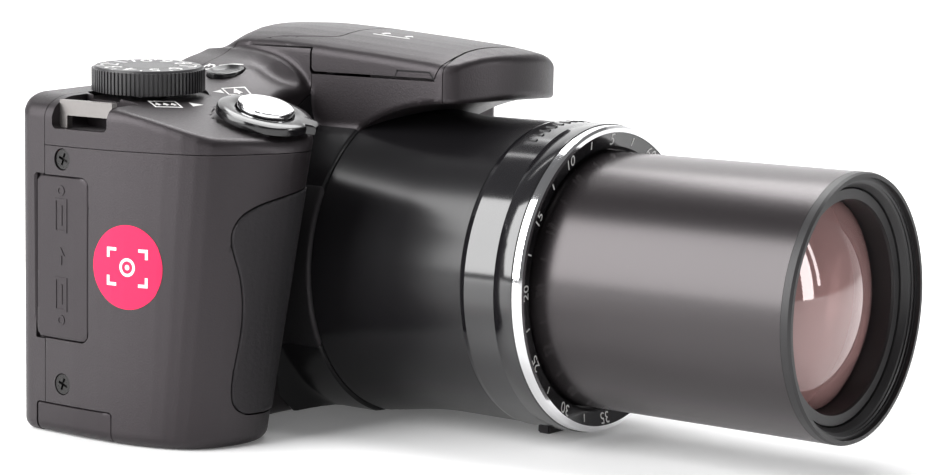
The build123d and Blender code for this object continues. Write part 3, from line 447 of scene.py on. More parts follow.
def tilt_n(side, fwd_):
    v = np.array([-math.tan(math.radians(side)), -math.tan(math.radians(fwd_)), 1.0])
    return v / np.linalg.norm(v)

DIAL_O, DIAL_N = np.array((-45.0, 0.4, 58.15)), tilt_n(3.0, 2.35)
SHUT_O, SHUT_N = np.array((-40.5, -22.1, 54.2)), tilt_n(4.0, 17.0)
POW_O, POW_N = np.array((-26.0, 0.0, 61.0)), tilt_n(13.0, 3.0)

def top_cover(x, y, z):
    o = outer(x, y, z)
    d = mx(o, top_zone(x, y, z, G), -lid_zone(x, y, z, -0.2), -bore(x, y, z), -strap_wells(x, y, z))
    d = np.maximum(d, -cyl(x, y, z, DIAL_O, DIAL_N, 10.35, -0.75, 8))
    d = np.maximum(d, -cyl(x, y, z, DIAL_O, DIAL_N, 3.1, -9, 8))
    d = np.maximum(d, -cyl(x, y, z, SHUT_O, SHUT_N, 8.75, -0.55, 8))
    d = np.maximum(d, -cyl(x, y, z, SHUT_O, SHUT_N, 2.6, -9, 8))
    d = np.maximum(d, -cyl(x, y, z, POW_O, POW_N, 3.6, -1.6, 8))
    return d

REAR_BUTTONS = {"movie_button": (-36.0, 48.6, 3.2), "playback_button": (-36.0, 38.4, 2.7), "focus_frame_button": (-57.2, 37.2, 2.5),
                "menu_button": (-36.4, 9.6, 2.7), "display_button": (-56.6, 9.6, 2.7)}
def rear_cover(x, y, z):
    d = np.maximum(outer(x, y, z), (7.0 + G) - y)
    d = np.maximum(d, -side_wells(x, y, z))
    d = np.maximum(d, -mx((x + 63.0 + y - 9.25 - 0.45) / 1.4142, box2(y, z, 8.9, 9.9, 16.6, 44.3, 0.3)))
    d = np.maximum(d, -np.maximum(box2(y, z, 6.0, 9.25, 16.3, 44.6, 0.4), x + 62.0))
    d = np.maximum(d, -np.maximum(box2(x, z, -29.15, 37.15, 4.35, 53.15, 0.9), 12.2 - y))
    d = np.maximum(d, -np.maximum(box2(x, z, -61.12, -44.48, 41.48, 56.12, 3.1), 12.95 - y))
    for bx, bz, r in REAR_BUTTONS.values():
        d = np.maximum(d, -np.maximum(np.sqrt((x - bx) ** 2 + (z - bz) ** 2) - r - 0.18, 11.6 - y))
    d = np.maximum(d, -np.maximum(np.sqrt((x + 46.5) ** 2 + (z - 23.5) ** 2) - 9.45, 11.2 - y))
    return np.maximum(d, -base_wells(x, y, z))

def flash_well(x, y, z):
    return box3(x, y, z, (-14.2, 14.2, -39.6, -14.9, 57.6, 70))

def nose_cover(x, y, z):
    return np.maximum(outer(x, y, z), nose_zone(x, y, z, G))

def lid(x, y, z):
    o = outer(x, y, z)
    d = np.maximum(o, lid_zone(x, y, z, 0.1))
    hollow = np.maximum(o + 1.9, box3(x, y, z, (-14.2, 14.2, -39.4, -14.9, 55, 66.4)))
    return np.maximum(d, -hollow)

def rubber(x, y, z):
    o = outer(x, y, z)
    r2 = rmax(rubber_zone(x, z, 0.14), o - 0.22, 0.35)
    return mx(r2, -(o + 0.95), y + 12.0)

def front_all(x, y, z):
    return np.maximum(front_cover(x, y, z), -flash_well(x, y, z))

def terminal_cover(x, y, z):
    d = rmax(box2(y, z, -3.2, 9.1, 16.6, 44.3, 1.7), outer(x, y, z), 0.35)
    d = mx(d, x + 61.75, (y - 8.65 - x - 63.0) / 1.4142)
    tongues = np.minimum(box3(x, y, z, (-61.85, -61.3, 0.0, 6.0, 21.8, 24.7)), box3(x, y, z, (-61.85, -61.3, 0.0, 6.0, 33.8, 36.7)))
    return np.minimum(d, tongues)

def coupler_flap(x, y, z):
    d = rmax(mx(box2(y, z, -8.4, 9.0, 0.22, 10.0, 0.0), box2(y, z, -8.4, 9.0, -4.0, 5.25, 0.7)), outer(x, y, z), 0.3)
    return mx(d, x + 61.3)

SHELLS = {
    "terminal_cover": (terminal_cover, (-63, -3.3, 16.5), (-61.2, 9.2, 44.4)),
    "coupler_flap": (coupler_flap, (-63, -8.5, 0.2), (-61.2, 9.1, 5.4)),
    "front_cover": (front_all, (-63, -42, 0), (41, 7, 69.6)),
    "top_cover": (top_cover, (-63, -31.5, 49), (41, 7, 69.6)),
    "rear_cover": (rear_cover, (-63, 6.9, 0), (41, 14, 69.6)),
    "nose_cover": (nose_cover, (-17, -47, 54.5), (17, -40.5, 67.6)),
    "flash_lid": (lid, (-17, -41.2, 60.5), (17, 4.8, 69.8)),
    "grip_rubber": (rubber, (-54, -31.5, 4.5), (-23, -11.5, 45)),
}
made = {}
for node, (fn, lo, hi) in SHELLS.items():
    hh = H if node in ("front_cover", "top_cover", "rear_cover") else H * 0.8
    v, f_ = contour(fn, lo, hi, hh)
    body = {"flash_lid": "flash", "terminal_cover": "terminal_cover", "coupler_flap": "coupler_flap"}.get(node, "root")
    ob = mesh_object(node + "_form", v, f_, body=body)
    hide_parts(node)
    made[node] = ob

# ---------------------------------------------------------------- materials
def material(name):
    mat = bpy.data.materials.new(name); mat.use_nodes = True
    nt = mat.node_tree
    return mat, nt, nt.nodes["Principled BSDF"]

def add(nt, kind, **kw):
    n = nt.nodes.new(kind)
    for k, v in kw.items():
        setattr(n, k, v)
    return n

def plastic(name, colour, rough=0.45, grain=1.0, bump=0.12, spec=0.5, mottled=0.06, tint=None, grain_scale=5200.0, metal=0.0, coat=0.0, coat_rough=0.1, aniso=None):
    """moulded surface: fine grain, faint mottling in colour and in shine"""
    mat, nt, bsdf = material(name)
    L = nt.links
    co = add(nt, "ShaderNodeTexCoord")
    fine = add(nt, "ShaderNodeTexNoise"); fine.inputs["Scale"].default_value = grain_scale; fine.inputs["Detail"].default_value = 2.0
    broad = add(nt, "ShaderNodeTexNoise"); broad.inputs["Scale"].default_value = 55.0; broad.inputs["Detail"].default_value = 4.0
    L.new(co.outputs["Object"], fine.inputs["Vector"]); L.new(co.outputs["Object"], broad.inputs["Vector"])
    ramp = add(nt, "ShaderNodeMapRange")
    ramp.inputs["From Min"].default_value, ramp.inputs["From Max"].default_value = 0.3, 0.7
    ramp.inputs["To Min"].default_value, ramp.inputs["To Max"].default_value = 0.0, 1.0
    L.new(broad.outputs["Fac"], ramp.inputs["Value"])
    mix = add(nt, "ShaderNodeMix", data_type="RGBA")
    mix.inputs[6].default_value = tuple(c * (1 - mottled) for c in colour) + (1,)
    mix.inputs[7].default_value = tuple(min(1, c * (1 + mottled)) for c in (tint or colour)) + (1,)
    L.new(ramp.outputs["Result"], mix.inputs[0])
    L.new(mix.outputs[2], bsdf.inputs["Base Color"])
    rr = add(nt, "ShaderNodeMapRange")
    rr.inputs["From Min"].default_value, rr.inputs["From Max"].default_value = 0.25, 0.75
    rr.inputs["To Min"].default_value, rr.inputs["To Max"].default_value = max(0.02, rough - 0.05 * grain), min(1, rough + 0.05 * grain)
    L.new(fine.outputs["Fac"], rr.inputs["Value"]); L.new(rr.outputs["Result"], bsdf.inputs["Roughness"])
    b = add(nt, "ShaderNodeBump"); b.inputs["Strength"].default_value = bump; b.inputs["Distance"].default_value = 0.00008
    L.new(fine.outputs["Fac"], b.inputs["Height"]); L.new(b.outputs["Normal"], bsdf.inputs["Normal"])
    bsdf.inputs["Specular IOR Level"].default_value = spec
    bsdf.inputs["Metallic"].default_value = metal
    if coat:
        bsdf.inputs["Coat Weight"].default_value = coat
        bsdf.inputs["Coat Roughness"].default_value = coat_rough
    if aniso:
        bsdf.inputs["Anisotropic"].default_value = aniso
    return mat

M = {}
M["body"] = plastic("body_plastic", (0.0120, 0.0098, 0.0108), rough=0.42, bump=0.4, spec=0.50, mottled=0.05, grain_scale=3200)
M["body_fine"] = plastic("body_plastic_fine", (0.036, 0.031, 0.033), rough=0.40, bump=0.2, spec=0.5, grain_scale=3600)
M["flap"] = plastic("flap_plastic", (0.0112, 0.0088, 0.0100), rough=0.46, bump=0.15, spec=0.45, grain_scale=3200)
M["rubber"] = plastic("grip_rubber", (0.014, 0.0135, 0.0145), rough=0.56, bump=0.6, spec=0.35, grain_scale=1700)
M["gloss"] = plastic("gloss_black", (0.0070, 0.0066, 0.0078), rough=0.11, bump=0.0, spec=1.0, grain=0.2)
M["gloss_soft"] = plastic("gloss_black_soft", (0.0085, 0.008, 0.009), rough=0.24, bump=0.0, spec=0.45, grain=0.2)
M["tube"] = plastic("tube_black", (0.0150, 0.0126, 0.0136), rough=0.26, bump=0.05, spec=0.9, grain=0.3, metal=0.25)
M["chrome"] = plastic("bright_metal", (0.86, 0.86, 0.87), rough=0.09, bump=0.01, metal=1.0, mottled=0.02)
M["silver"] = plastic("silver_button", (0.78, 0.78, 0.79), rough=0.14, bump=0.02, metal=1.0, mottled=0.02)
M["brushed"] = plastic("brushed_metal", (0.20, 0.19, 0.185), rough=0.40, bump=0.25, metal=1.0, grain_scale=900)
M["steel"] = plastic("steel", (0.36, 0.36, 0.37), rough=0.34, bump=0.15, metal=1.0)
M["screw"] = plastic("black_screw", (0.022, 0.021, 0.021), rough=0.3, bump=0.1, metal=0.6)
M["key"] = plastic("key_plastic", (0.028, 0.027, 0.029), rough=0.4, bump=0.1)
M["board"] = plastic("circuit_board", (0.02, 0.10, 0.05), rough=0.4, bump=0.1, mottled=0.2)
M["cell"] = plastic("cell_grey", (0.09, 0.09, 0.095), rough=0.45, bump=0.1)
M["screen"] = plastic("screen_glass", (0.006, 0.0065, 0.008), rough=0.07, bump=0.0, grain=0.2, coat=0.6, coat_rough=0.03)
M["white"] = plastic("print_white", (0.78, 0.77, 0.76), rough=0.5, bump=0.05, mottled=0.03)
M["pink"] = plastic("sticker_pink", (0.80, 0.012, 0.082), rough=0.5, bump=0.03, mottled=0.02, spec=0.25)
M["red"] = plastic("record_red", (0.62, 0.02, 0.02), rough=0.4, bump=0.02)
M["display"] = plastic("display_area", (0.011, 0.012, 0.015), rough=0.16, bump=0.0, grain=0.2)
# near-black used only for the rings on the dial top: painted shade standing in for grooves
M["dark"] = plastic("painted_groove_shade_black", (0.006, 0.006, 0.0065), rough=0.5, bump=0.1)
M["thread"] = plastic("rim_black", (0.020, 0.019, 0.020), rough=0.42, bump=0.06, metal=0.2)

M["lever"] = plastic("lever_black", (0.0058, 0.0052, 0.0060), rough=0.15, bump=0.0, spec=0.7, grain=0.2)
for key in ("body", "flap", "body_fine", "rubber", "tube"):
    for node in M[key].node_tree.nodes:
        if node.type == "BSDF_PRINCIPLED":
            node.inputs["Specular Tint"].default_value = (1.0, 0.94, 0.955, 1) if key == "tube" else (1.0, 0.92, 0.97, 1)

def glass(name, colour, rough=0.02, trans=0.85, coat=0.8, film=None):
    mat, nt, bsdf = material(name)
    co = add(nt, "ShaderNodeTexCoord")
    no = add(nt, "ShaderNodeTexNoise"); no.inputs["Scale"].default_value = 40
    nt.links.new(co.outputs["Object"], no.inputs["Vector"])
    mr = add(nt, "ShaderNodeMapRange")
    mr.inputs["To Min"].default_value, mr.inputs["To Max"].default_value = rough, rough * 1.15
    nt.links.new(no.outputs["Fac"], mr.inputs["Value"]); nt.links.new(mr.outputs["Result"], bsdf.inputs["Roughness"])
    bsdf.inputs["Base Color"].default_value = colour + (1,)
    bsdf.inputs["Transmission Weight"].default_value = trans
    bsdf.inputs["IOR"].default_value = 1.7
    bsdf.inputs["Coat Weight"].default_value = coat
    bsdf.inputs["Coat Roughness"].default_value = 0.02
    if film:
        bsdf.inputs["Specular Tint"].default_value = film + (1,)
    return mat

M["lens"] = glass("lens_glass", (0.46, 0.27, 0.26), rough=0.006, trans=0.5, coat=0.3, film=(1.0, 0.86, 0.86))
M["clear"] = glass("clear_window", (0.85, 0.85, 0.87), rough=0.05, trans=0.7, coat=0.2)

def give(node, mat):
    ob = N[node]
    if not ob.material_slots:
        ob.data.materials.append(mat)
    for s in ob.material_slots:
        s.link = "OBJECT"; s.material = mat

SET = {
    "body": "base_cover battery_door".split(),
    "body_fine": "battery_holder flash_housing".split(),
    "rubber": "thumb_rest barrel_foot".split(),
    "gloss": "gloss_ring front_ring zoom_lever".split(),
    "tube": "zoom_tube guide_barrel cam_barrel zoom_lens_group focus_group".split(),
    "thread": "front_rim retaining_ring".split(),
    "chrome": "chrome_ring".split(),
    "silver": "shutter_button".split(),
    "brushed": "strap_lugs".split(),
    "steel": "tripod_socket chassis flash_hinge_pin battery_door_pin card_slot terminal_ports motor_pinion zoom_motor".split(),
    "screw": "side_screws base_screws".split(),
    "key": "mode_dial power_button movie_button playback_button focus_frame_button menu_button display_button control_pad set_button seek_button lock_button".split(),
    "board": "main_board sensor_board image_sensor".split(),
    "cell": "battery memory_card flash_capacitor".split(),
    "screen": "lcd_window lcd_panel".split(),
    "lens": "front_lens".split(),
    "clear": "focus_lamp flash_window flash_tube".split(),
}
for k, names in SET.items():
    for n in names:
        give(n, M[k])

def dress(ob, mat):
    ob.data.materials.clear(); ob.data.materials.append(mat)

for n in ("front_cover", "top_cover", "rear_cover", "nose_cover", "flash_lid"):
    dress(made[n], M["body"])
dress(made["terminal_cover"], M["flap"])
dress(made["coupler_flap"], M["flap"])
dress(made["grip_rubber"], M["rubber"])

# ---------------------------------------------------------------- turned pieces
def revolve(name, profile, steps=192, body="root", closed=True, sharp=30.0, floor=None):
    # profile of (distance forward, radius) about the lens axis
    p = np.array(profile, float)
    k = len(p)
    th = np.linspace(0, 2 * math.pi, steps, endpoint=False)
    X = p[None, :, 1] * np.sin(th)[:, None]
    Z = AZ + p[None, :, 1] * np.cos(th)[:, None]
    Y = np.broadcast_to(-p[None, :, 0], X.shape)
    v = np.stack([X, Y, Z], 2).reshape(-1, 3)
    if floor is not None:
        v[:, 2] = np.maximum(v[:, 2], floor)
    kk = k if closed else k - 1
    i, j = np.meshgrid(np.arange(steps), np.arange(kk), indexing="ij")
    a, b = i * k + j, i * k + (j + 1) % k
    c, d = ((i + 1) % steps) * k + (j + 1) % k, ((i + 1) % steps) * k + j
    f = np.stack([a, b, c, d], 2).reshape(-1, 4)
    ob = mesh_object(name, v, f, sharp=sharp, body=body)
    bm = bmesh.new(); bm.from_mesh(ob.data); bmesh.ops.recalc_face_normals(bm, faces=bm.faces); bm.to_mesh(ob.data); bm.free()
    return ob

flare = [(22.62, 25.35), (22.62, 28.1), (22.8, 28.42)]
for u in np.linspace(23.4, 40, 26):
    s = (40 - u) / 16.6
    flare.append((u, 26.5 + 1.85 * s ** 1.9))
flare += [(46, 26.5), (53.75, 26.5), (53.93, 26.35), (53.93, 25.35)]
shroud = revolve("lens_shroud", flare, floor=0.12)
dress(shroud, M["gloss_soft"])

collar = revolve("shroud_collar", [(22.62, 28.0), (22.62, 28.3), (22.52, 28.78), (22.25, 29.04), (14.2, 29.08), (13.2, 29.32), (12.5, 29.85),
                                   (12.0, 30.75), (11.75, 32.0), (11.66, 33.8), (11.4, 33.8), (11.4, 28.0)], floor=0.12)
dress(collar, M["gloss_soft"])
lip = revolve("barrel_lip", [(61.0, 26.3), (61.0, 26.74), (61.12, 26.8), (64.45, 26.74), (64.55, 26.6), (64.55, 26.3)])
dress(lip, M["gloss"])

def slab(name, b, mat, node=None, body="root", round_=0.25):
    # box with eased edges, mm
    bm_ = bmesh.new(); bmesh.ops.create_cube(bm_, size=1.0)
    for v in bm_.verts:
        v.co = Vector([(b[2 * i] + b[2 * i + 1]) / 2 + v.co[i] * (b[2 * i + 1] - b[2 * i]) for i in range(3)]) * MM
    bmesh.ops.bevel(bm_, geom=list(bm_.edges), offset=round_ * MM, segments=2, affect="EDGES")
    me_ = bpy.data.meshes.new(name); bm_.to_mesh(me_); bm_.free()
    ob_ = bpy.data.objects.new(name, me_); bpy.context.scene.collection.objects.link(ob_)
    smooth(ob_, 40); me_.materials.append(mat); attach(ob_, body)
    if node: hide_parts(node)
    return ob_

slab("barrel_foot_form", (-4.6, 6.6, -57.4, -54.9, 0.0, 2.6), M["rubber"], "barrel_foot")
slab("flash_hinge_pin_form", (-9.2, 9.2, 3.5, 4.3, 67.3, 68.1), M["screw"], "flash_hinge_pin", round_=0.2)

dome = [(112.6 - 30.0 * (1 - math.cos(t)), 30.0 * math.sin(t)) for t in np.linspace(0.0001, math.asin(17.3 / 30.0), 40)]
glass_front = revolve("front_lens_form", [(107.0, 0.001)] + dome + [(107.0, 17.3)], body="zoom_tube", sharp=40)
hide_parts("front_lens")
dress(glass_front, M["lens"])

# ---------------------------------------------------------------- printed and moulded marks
def text2d(text, size, spacing=1.0):
    cu = bpy.data.curves.new("mark", "FONT"); cu.body = text; cu.size = size * 1.38
    cu.align_x, cu.align_y = "CENTER", "CENTER"; cu.space_character = spacing
    cu.offset = 0.0; cu.resolution_u = 4
    ob = bpy.data.objects.new("mark", cu); bpy.context.scene.collection.objects.link(ob)
    me = bpy.data.meshes.new_from_object(ob.evaluated_get(bpy.context.evaluated_depsgraph_get()))
    v = np.array([w.co[:2] for w in me.vertices], float).reshape(-1, 2)
    f = [tuple(p.vertices) for p in me.polygons]
    bpy.data.objects.remove(ob); bpy.data.curves.remove(cu); bpy.data.meshes.remove(me)
    v -= (v.max(0) + v.min(0)) / 2
    return v, f

def area2d(points):
    return np.array(points, float), [tuple(range(len(points)))]

def rect(x0, y0, x1, y1):
    return area2d([(x0, y0), (x1, y0), (x1, y1), (x0, y1)])

def frame2d(x0, y0, x1, y1, w):
    return [rect(x0, y0, x1, y0 + w), rect(x0, y1 - w, x1, y1), rect(x0, y0 + w, x0 + w, y1 - w), rect(x1 - w, y0 + w, x1, y1 - w)]

def disc2d(cx_, cy_, r, n=48, r_in=0.0):
    t = np.linspace(0, 2 * math.pi, n, endpoint=False)
    o = np.stack([cx_ + r * np.cos(t), cy_ + r * np.sin(t)], 1)
    if not r_in:
        return o, [tuple(range(n))]
    i = np.stack([cx_ + r_in * np.cos(t), cy_ + r_in * np.sin(t)], 1)
    return np.concatenate([o, i]), [(k, (k + 1) % n, n + (k + 1) % n, n + k) for k in range(n)]

def moved(shape, dx=0.0, dy=0.0, turn=0.0, k=1.0):
    v, f = shape
    c, s_ = math.cos(math.radians(turn)), math.sin(math.radians(turn))
    w = np.stack([v[:, 0] * c - v[:, 1] * s_, v[:, 0] * s_ + v[:, 1] * c], 1) * k + np.array([dx, dy])
    return w, f

def marks(name, shapes, place, mat, body="root", lift=0.035, thick=0.0, fine=0.0):
    # flat outlines laid on a surface: place(u, v, height) gives points in mm
    bm = bmesh.new()
    for v, f in shapes:
        vs = [bm.verts.new((a, b, 0)) for a, b in v]
        for q in f:
            try: bm.faces.new([vs[i] for i in q])
            except ValueError: pass
    bmesh.ops.recalc_face_normals(bm, faces=bm.faces)
    for f in bm.faces:
        if f.normal.z < 0: f.normal_flip()
    if fine:
        bmesh.ops.triangulate(bm, faces=bm.faces)
        for _ in range(5):
            long = [e for e in bm.edges if e.calc_length() > fine]
            if not long: break
            bmesh.ops.subdivide_edges(bm, edges=long, cuts=1)
            bmesh.ops.triangulate(bm, faces=[f for f in bm.faces if len(f.verts) > 3])
    if thick:
        r = bmesh.ops.extrude_face_region(bm, geom=list(bm.faces), use_keep_orig=False)
        for g_ in r["geom"]:
            if isinstance(g_, bmesh.types.BMVert): g_.co.z = 1.0
    bm.verts.ensure_lookup_table()
    uvw = np.array([v.co[:] for v in bm.verts], float).reshape(-1, 3)
    h = lift + uvw[:, 2] * thick
    P = place(uvw[:, 0], uvw[:, 1], h) * MM
    for v, p in zip(bm.verts, P): v.co = p
    me = bpy.data.meshes.new(name); bm.to_mesh(me); bm.free()
    ob = bpy.data.objects.new(name, me); bpy.context.scene.collection.objects.link(ob)
    if thick: smooth(ob, 40)
    me.materials.append(mat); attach(ob, body)
    return ob

def on_form(origin, u_dir, v_dir, form=None):
    # lays points on the outer form near origin, dropped along the form's own normal
    form = form or outer
    o, u_, v_ = np.array(origin, float), np.array(u_dir, float), np.array(v_dir, float)
    u_ /= np.linalg.norm(u_); v_ /= np.linalg.norm(v_)
    def go(a, b, h):
        p = o + a[:, None] * u_ + b[:, None] * v_
        e = 0.05
        for _ in range(6):
            d = form(p[:, 0], p[:, 1], p[:, 2])
            g = np.stack([form(p[:, 0] + e, p[:, 1], p[:, 2]) - form(p[:, 0] - e, p[:, 1], p[:, 2]),
                          form(p[:, 0], p[:, 1] + e, p[:, 2]) - form(p[:, 0], p[:, 1] - e, p[:, 2]),
                          form(p[:, 0], p[:, 1], p[:, 2] + e) - form(p[:, 0], p[:, 1], p[:, 2] - e)], 1) / (2 * e)
            m2 = (g * g).sum(1) + 1e-9
            p = p - g * ((d - h) / m2)[:, None]
        return p
    return go

def on_plane(origin, u_dir, v_dir, n=None):
    o, u_, v_ = np.array(origin, float), np.array(u_dir, float), np.array(v_dir, float)
    u_ /= np.linalg.norm(u_); v_ -= u_ * (u_ @ v_); v_ /= np.linalg.norm(v_)
    n = np.cross(u_, v_)
    return lambda a, b, h: o + a[:, None] * u_ + b[:, None] * v_ + h[:, None] * n

def on_barrel(u0, r, angle):
    # angle from the top, towards the grip; text reads around the barrel
    def go(a, b, h):
        t = math.radians(angle) - a / r
        rr = r + h
        return np.stack([-rr * np.sin(t), -(u0 + b * 0) + b, AZ + rr * np.cos(t)], 1)
    return go

def tilt_axes(n):
    x = np.array([1, 0, -n[0] / n[2]]); x /= np.linalg.norm(x)
    return x, np.cross(n, x)

WHITE, BLACK = M["white"], M["dark"]

# mode dial: plain numbers and simple signs
dx_, dy_ = tilt_axes(DIAL_N)
dial_top = DIAL_O + DIAL_N * 4.1
marks_list = []
for i, t in enumerate(("1", "2", "3", "4", "5", "6", "7", "8", "9", "10")):
    ang = 36.0 * i
    w = moved(text2d(t, 3.3), 0, 6.75)
    marks_list.append(moved(w, 0, 0, ang))
    marks_list.append(moved(rect(-0.17, 7.6, 0.17, 8.9), 0, 0, ang + 18))
marks("dial_marks", marks_list, on_plane(dial_top + DIAL_N * 0.385, dx_, dy_), WHITE, "mode_dial", lift=0.03)
# two thin black rings on the dial top: painted shade standing in for grooves, which are not cut into the dial
marks("dial_groove_painted_shade", [disc2d(0, 0, 5.2, 64, 5.0), disc2d(0, 0, 4.4, 64, 4.3)], on_plane(dial_top + DIAL_N * 0.385, dx_, dy_), BLACK, "mode_dial", lift=0.015)

# zoom direction signs beside the lever, the mark for the dial and the one by the power key
def tall(shapes, k):
    return [(np.stack([v[:, 0], v[:, 1] * k], 1), f) for v, f in shapes]
def tree(x):
    return [area2d([(x - 0.75, -0.55), (x + 0.75, -0.55), (x, 0.95)]), rect(x - 0.16, -0.95, x + 0.16, -0.5)]
xs, ys = np.array([0.8, -0.6, 0.03]), np.array([0.6, 0.8, 0.2])
one = frame2d(-1.9, -1.25, 1.9, 1.25, 0.26) + tree(0.0)
three = frame2d(-1.9, -1.25, 1.9, 1.25, 0.26) + [moved(t, 0, 0, 0, 0.62) for t in tree(-1.7)] + [moved(t, 0, 0, 0, 0.62) for t in tree(0.0)] + [moved(t, 0, 0, 0, 0.62) for t in tree(1.7)]
marks("sign_wide", tall([moved(q, -2.4 * 1.3, 0, 0, 1.3) for q in three] + [moved(area2d([(0.7, -0.75), (2.6, 0.0), (0.7, 0.75)]), 0.6, 0, 0, 1.2)], 1.35), on_form((-47.9, -10.6, 56.6), (0.89, -0.45, 0), (0.45, 0.89, 0)), WHITE, lift=0.03, fine=0.7)
marks("sign_near", tall([moved(q, 1.7, 0, 0, 1.15) for q in one] + [area2d([(-0.9, -0.8), (-2.7, 0.0), (-0.9, 0.8)])], 1.6), on_form((-33.5, -7.4, 58.2), (0.87, -0.5, 0), (0.5, 0.87, 0)), WHITE, lift=0.03, fine=0.7)
marks("dial_index", [rect(-1.1, -0.3, 1.1, 0.3)], on_form((-33.2, 1.0, 59.6), (1, 0.03, 0.1), (-0.03, 1, 0)), WHITE, lift=0.03, fine=0.7)
marks("power_index", [disc2d(0, 0, 1.25, 40, 0.85), rect(-0.2, 0.2, 0.2, 1.6)] + [rect(1.9, -0.5, 6.4, 0.1)], on_form((-25.2, 5.0, 61.7), (0.55, -0.83, 0.1), (0.83, 0.55, 0)), WHITE, lift=0.03, fine=0.6)

def ribbon(pts, w):
    # a line of even width through the points, as separate quads
    out = []
    for a, b in zip(pts, pts[1:]):
        a, b = np.array(a, float), np.array(b, float)
        u = (b - a) / np.linalg.norm(b - a); q = np.array([-u[1], u[0]]) * w / 2
        a, b = a - u * w / 2, b + u * w / 2
        out.append(area2d([tuple(a - q), tuple(b - q), tuple(b + q), tuple(a + q)]))
    return out
M["line"] = plastic("moulding_line", (0.010, 0.009, 0.010), rough=0.6, bump=0.0, spec=0.2)
for side in (-1, 1):
    marks("catch_line_%s" % ("grip" if side < 0 else "free"), ribbon([(30.6, 0.0), (31.2, 1.2), (38.3, 1.2), (39.2, 0.1)], 0.3),
          on_form((16.0 * side, 0, 61.2), (0, -1, 0), (0, 0, 1)), M["line"], body="flash", lift=0.012, fine=0.5)
# roof of the hump: small arrows that say lift here
arrow = [area2d([(-1.1, 0.2), (0, 1.3), (1.1, 0.2)]), rect(-0.35, -0.9, 0.35, 0.25)]
marks("lid_arrows", [moved(q, -2.6, 0, 0, 0.95) for q in arrow] + [moved(q, 2.6, 0, 0, 0.95) for q in arrow] + [rect(-4.2, -1.75, 4.2, -1.4)],
      on_form((-5.4, -22.4, 67.9), (0, -1, 0), (1, 0, 0.05)), WHITE, body="flash", lift=0.03, fine=0.8)

# round label on the grip: framing corners round a spot
label = on_form((-62.0, -11.6, 30.2), (0, -1, 0), (0, 0, 1))
marks("round_label", [disc2d(0, 0, 7.05, 96)], label, M["pink"], lift=0.06, fine=1.2)
sign = []
for sx in (-1, 1):
    for sz in (-1, 1):
        sign += [area2d([(sx * 4.1, sz * 3.2), (sx * 4.1, sz * 1.5), (sx * 3.55, sz * 1.5), (sx * 3.55, sz * 2.65), (sx * 2.2, sz * 2.65), (sx * 2.2, sz * 3.2)])]
sign += [disc2d(0, 0, 1.55, 48, 1.05), disc2d(0, 0, 0.45, 24)]
marks("round_label_sign", sign, label, WHITE, lift=0.085, fine=1.0)

# plain signs on the side cover, raised
side_cov = on_form((-63.0, 2.9, 30.5), (0, -1, 0), (0, 0, 1))
raised = []
for cz in (7.2, -6.2):
    raised += [moved(q, -0.2, cz) for q in frame2d(-1.5, -2.9, 1.5, 2.9, 0.42)]
    raised += [moved(rect(-0.35, -1.7, 0.35, 1.7), -0.2, cz)]
raised += [moved(area2d([(-0.9, 0.2), (0.9, 0.2), (0, 1.6)]), -0.2, 0.2), moved(rect(-0.25, -1.4, 0.25, 0.3), -0.2, 0.2)]
raised += [moved(disc2d(0, 0, 0.9, 24, 0.5), -0.2, 11.4), moved(disc2d(0, 0, 0.9, 24, 0.5), -0.2, -10.6)]
marks("side_cover_signs", raised, side_cov, M["flap"], body="terminal_cover", lift=-0.05, thick=0.16)

# front ring: plain numbers and ticks
def on_face(u):
    return lambda a, b, h: np.stack([np.sin(a / 24.2) * (24.2 + b) * -1, -(u + h) - 0 * a + (-(b) * 0.235), AZ + np.cos(a / 24.2) * (24.2 + b)], 1)
ring = []
for i in range(24):
    ang = math.radians(15 * i) * 24.2
    if i % 2 == 0:
        ring.append(text2d(str(5 + i // 2 * 5), 2.05))
        v, f = ring[-1]; ring[-1] = (np.stack([-v[:, 0] + ang, v[:, 1]], 1), [q[::-1] for q in f])
    else:
        ring.append(rect(ang - 0.13, -0.7, ang + 0.13, 0.7))
marks("ring_scale", ring, on_face(65.80), WHITE, lift=0.05, fine=0.9)

# ribs on top of the front barrel ring
for i in range(13):
    a = -26 + i * 4.3
    marks("barrel_rib_%02d" % i, [rect(-0.32, -1.0, 0.32, 1.0)], on_barrel(57.2, 26.72, a), M["gloss"], lift=-0.05, thick=0.2, fine=0.6)

# rear: display area and plain signs on the keys
def on_rear(x, y, z):
    return on_plane((x, y, z), (-1, 0, 0), (0, 0, 1))
marks("display_area", [rect(-31.0, -22.2, 31.0, 22.2)], on_rear(4.0, 13.55, 28.9), M["display"], lift=0.02)
marks("movie_sign", [disc2d(0, 0, 1.15, 40)], on_rear(-36.0, 14.25, 48.6), M["red"], "movie_button", lift=0.02)
marks("playback_sign", [area2d([(-0.7, -0.95), (1.0, 0.0), (-0.7, 0.95)])], on_rear(-36.0, 14.25, 38.4), WHITE, "playback_button", lift=0.02)
marks("focus_frame_sign", frame2d(-1.1, -0.8, 1.1, 0.8, 0.24), on_rear(-57.2, 14.25, 37.2), WHITE, "focus_frame_button", lift=0.02)
marks("menu_sign", [rect(-1.1, k - 0.14, 1.1, k + 0.14) for k in (-0.7, 0.0, 0.7)], on_rear(-36.4, 14.25, 9.6), WHITE, "menu_button", lift=0.02)
marks("display_sign", frame2d(-1.2, -0.9, 1.2, 0.9, 0.2) + [rect(-0.7, -0.12, 0.7, 0.12)], on_rear(-56.6, 14.25, 9.6), WHITE, "display_button", lift=0.02)
marks("pad_signs", [moved(area2d([(-0.8, -0.45), (0.8, -0.45), (0, 0.75)]), *q) for q in ((0, 6.8, 0), (-6.8, 0, 90), (0, -6.8, 180), (6.8, 0, 270))],
      on_rear(-46.5, 14.1, 23.5), WHITE, "control_pad", lift=0.02)
marks("set_sign", [disc2d(0, 0, 2.3, 48, 2.05)], on_rear(-46.5, 14.2, 23.5), WHITE, "set_button", lift=0.02)

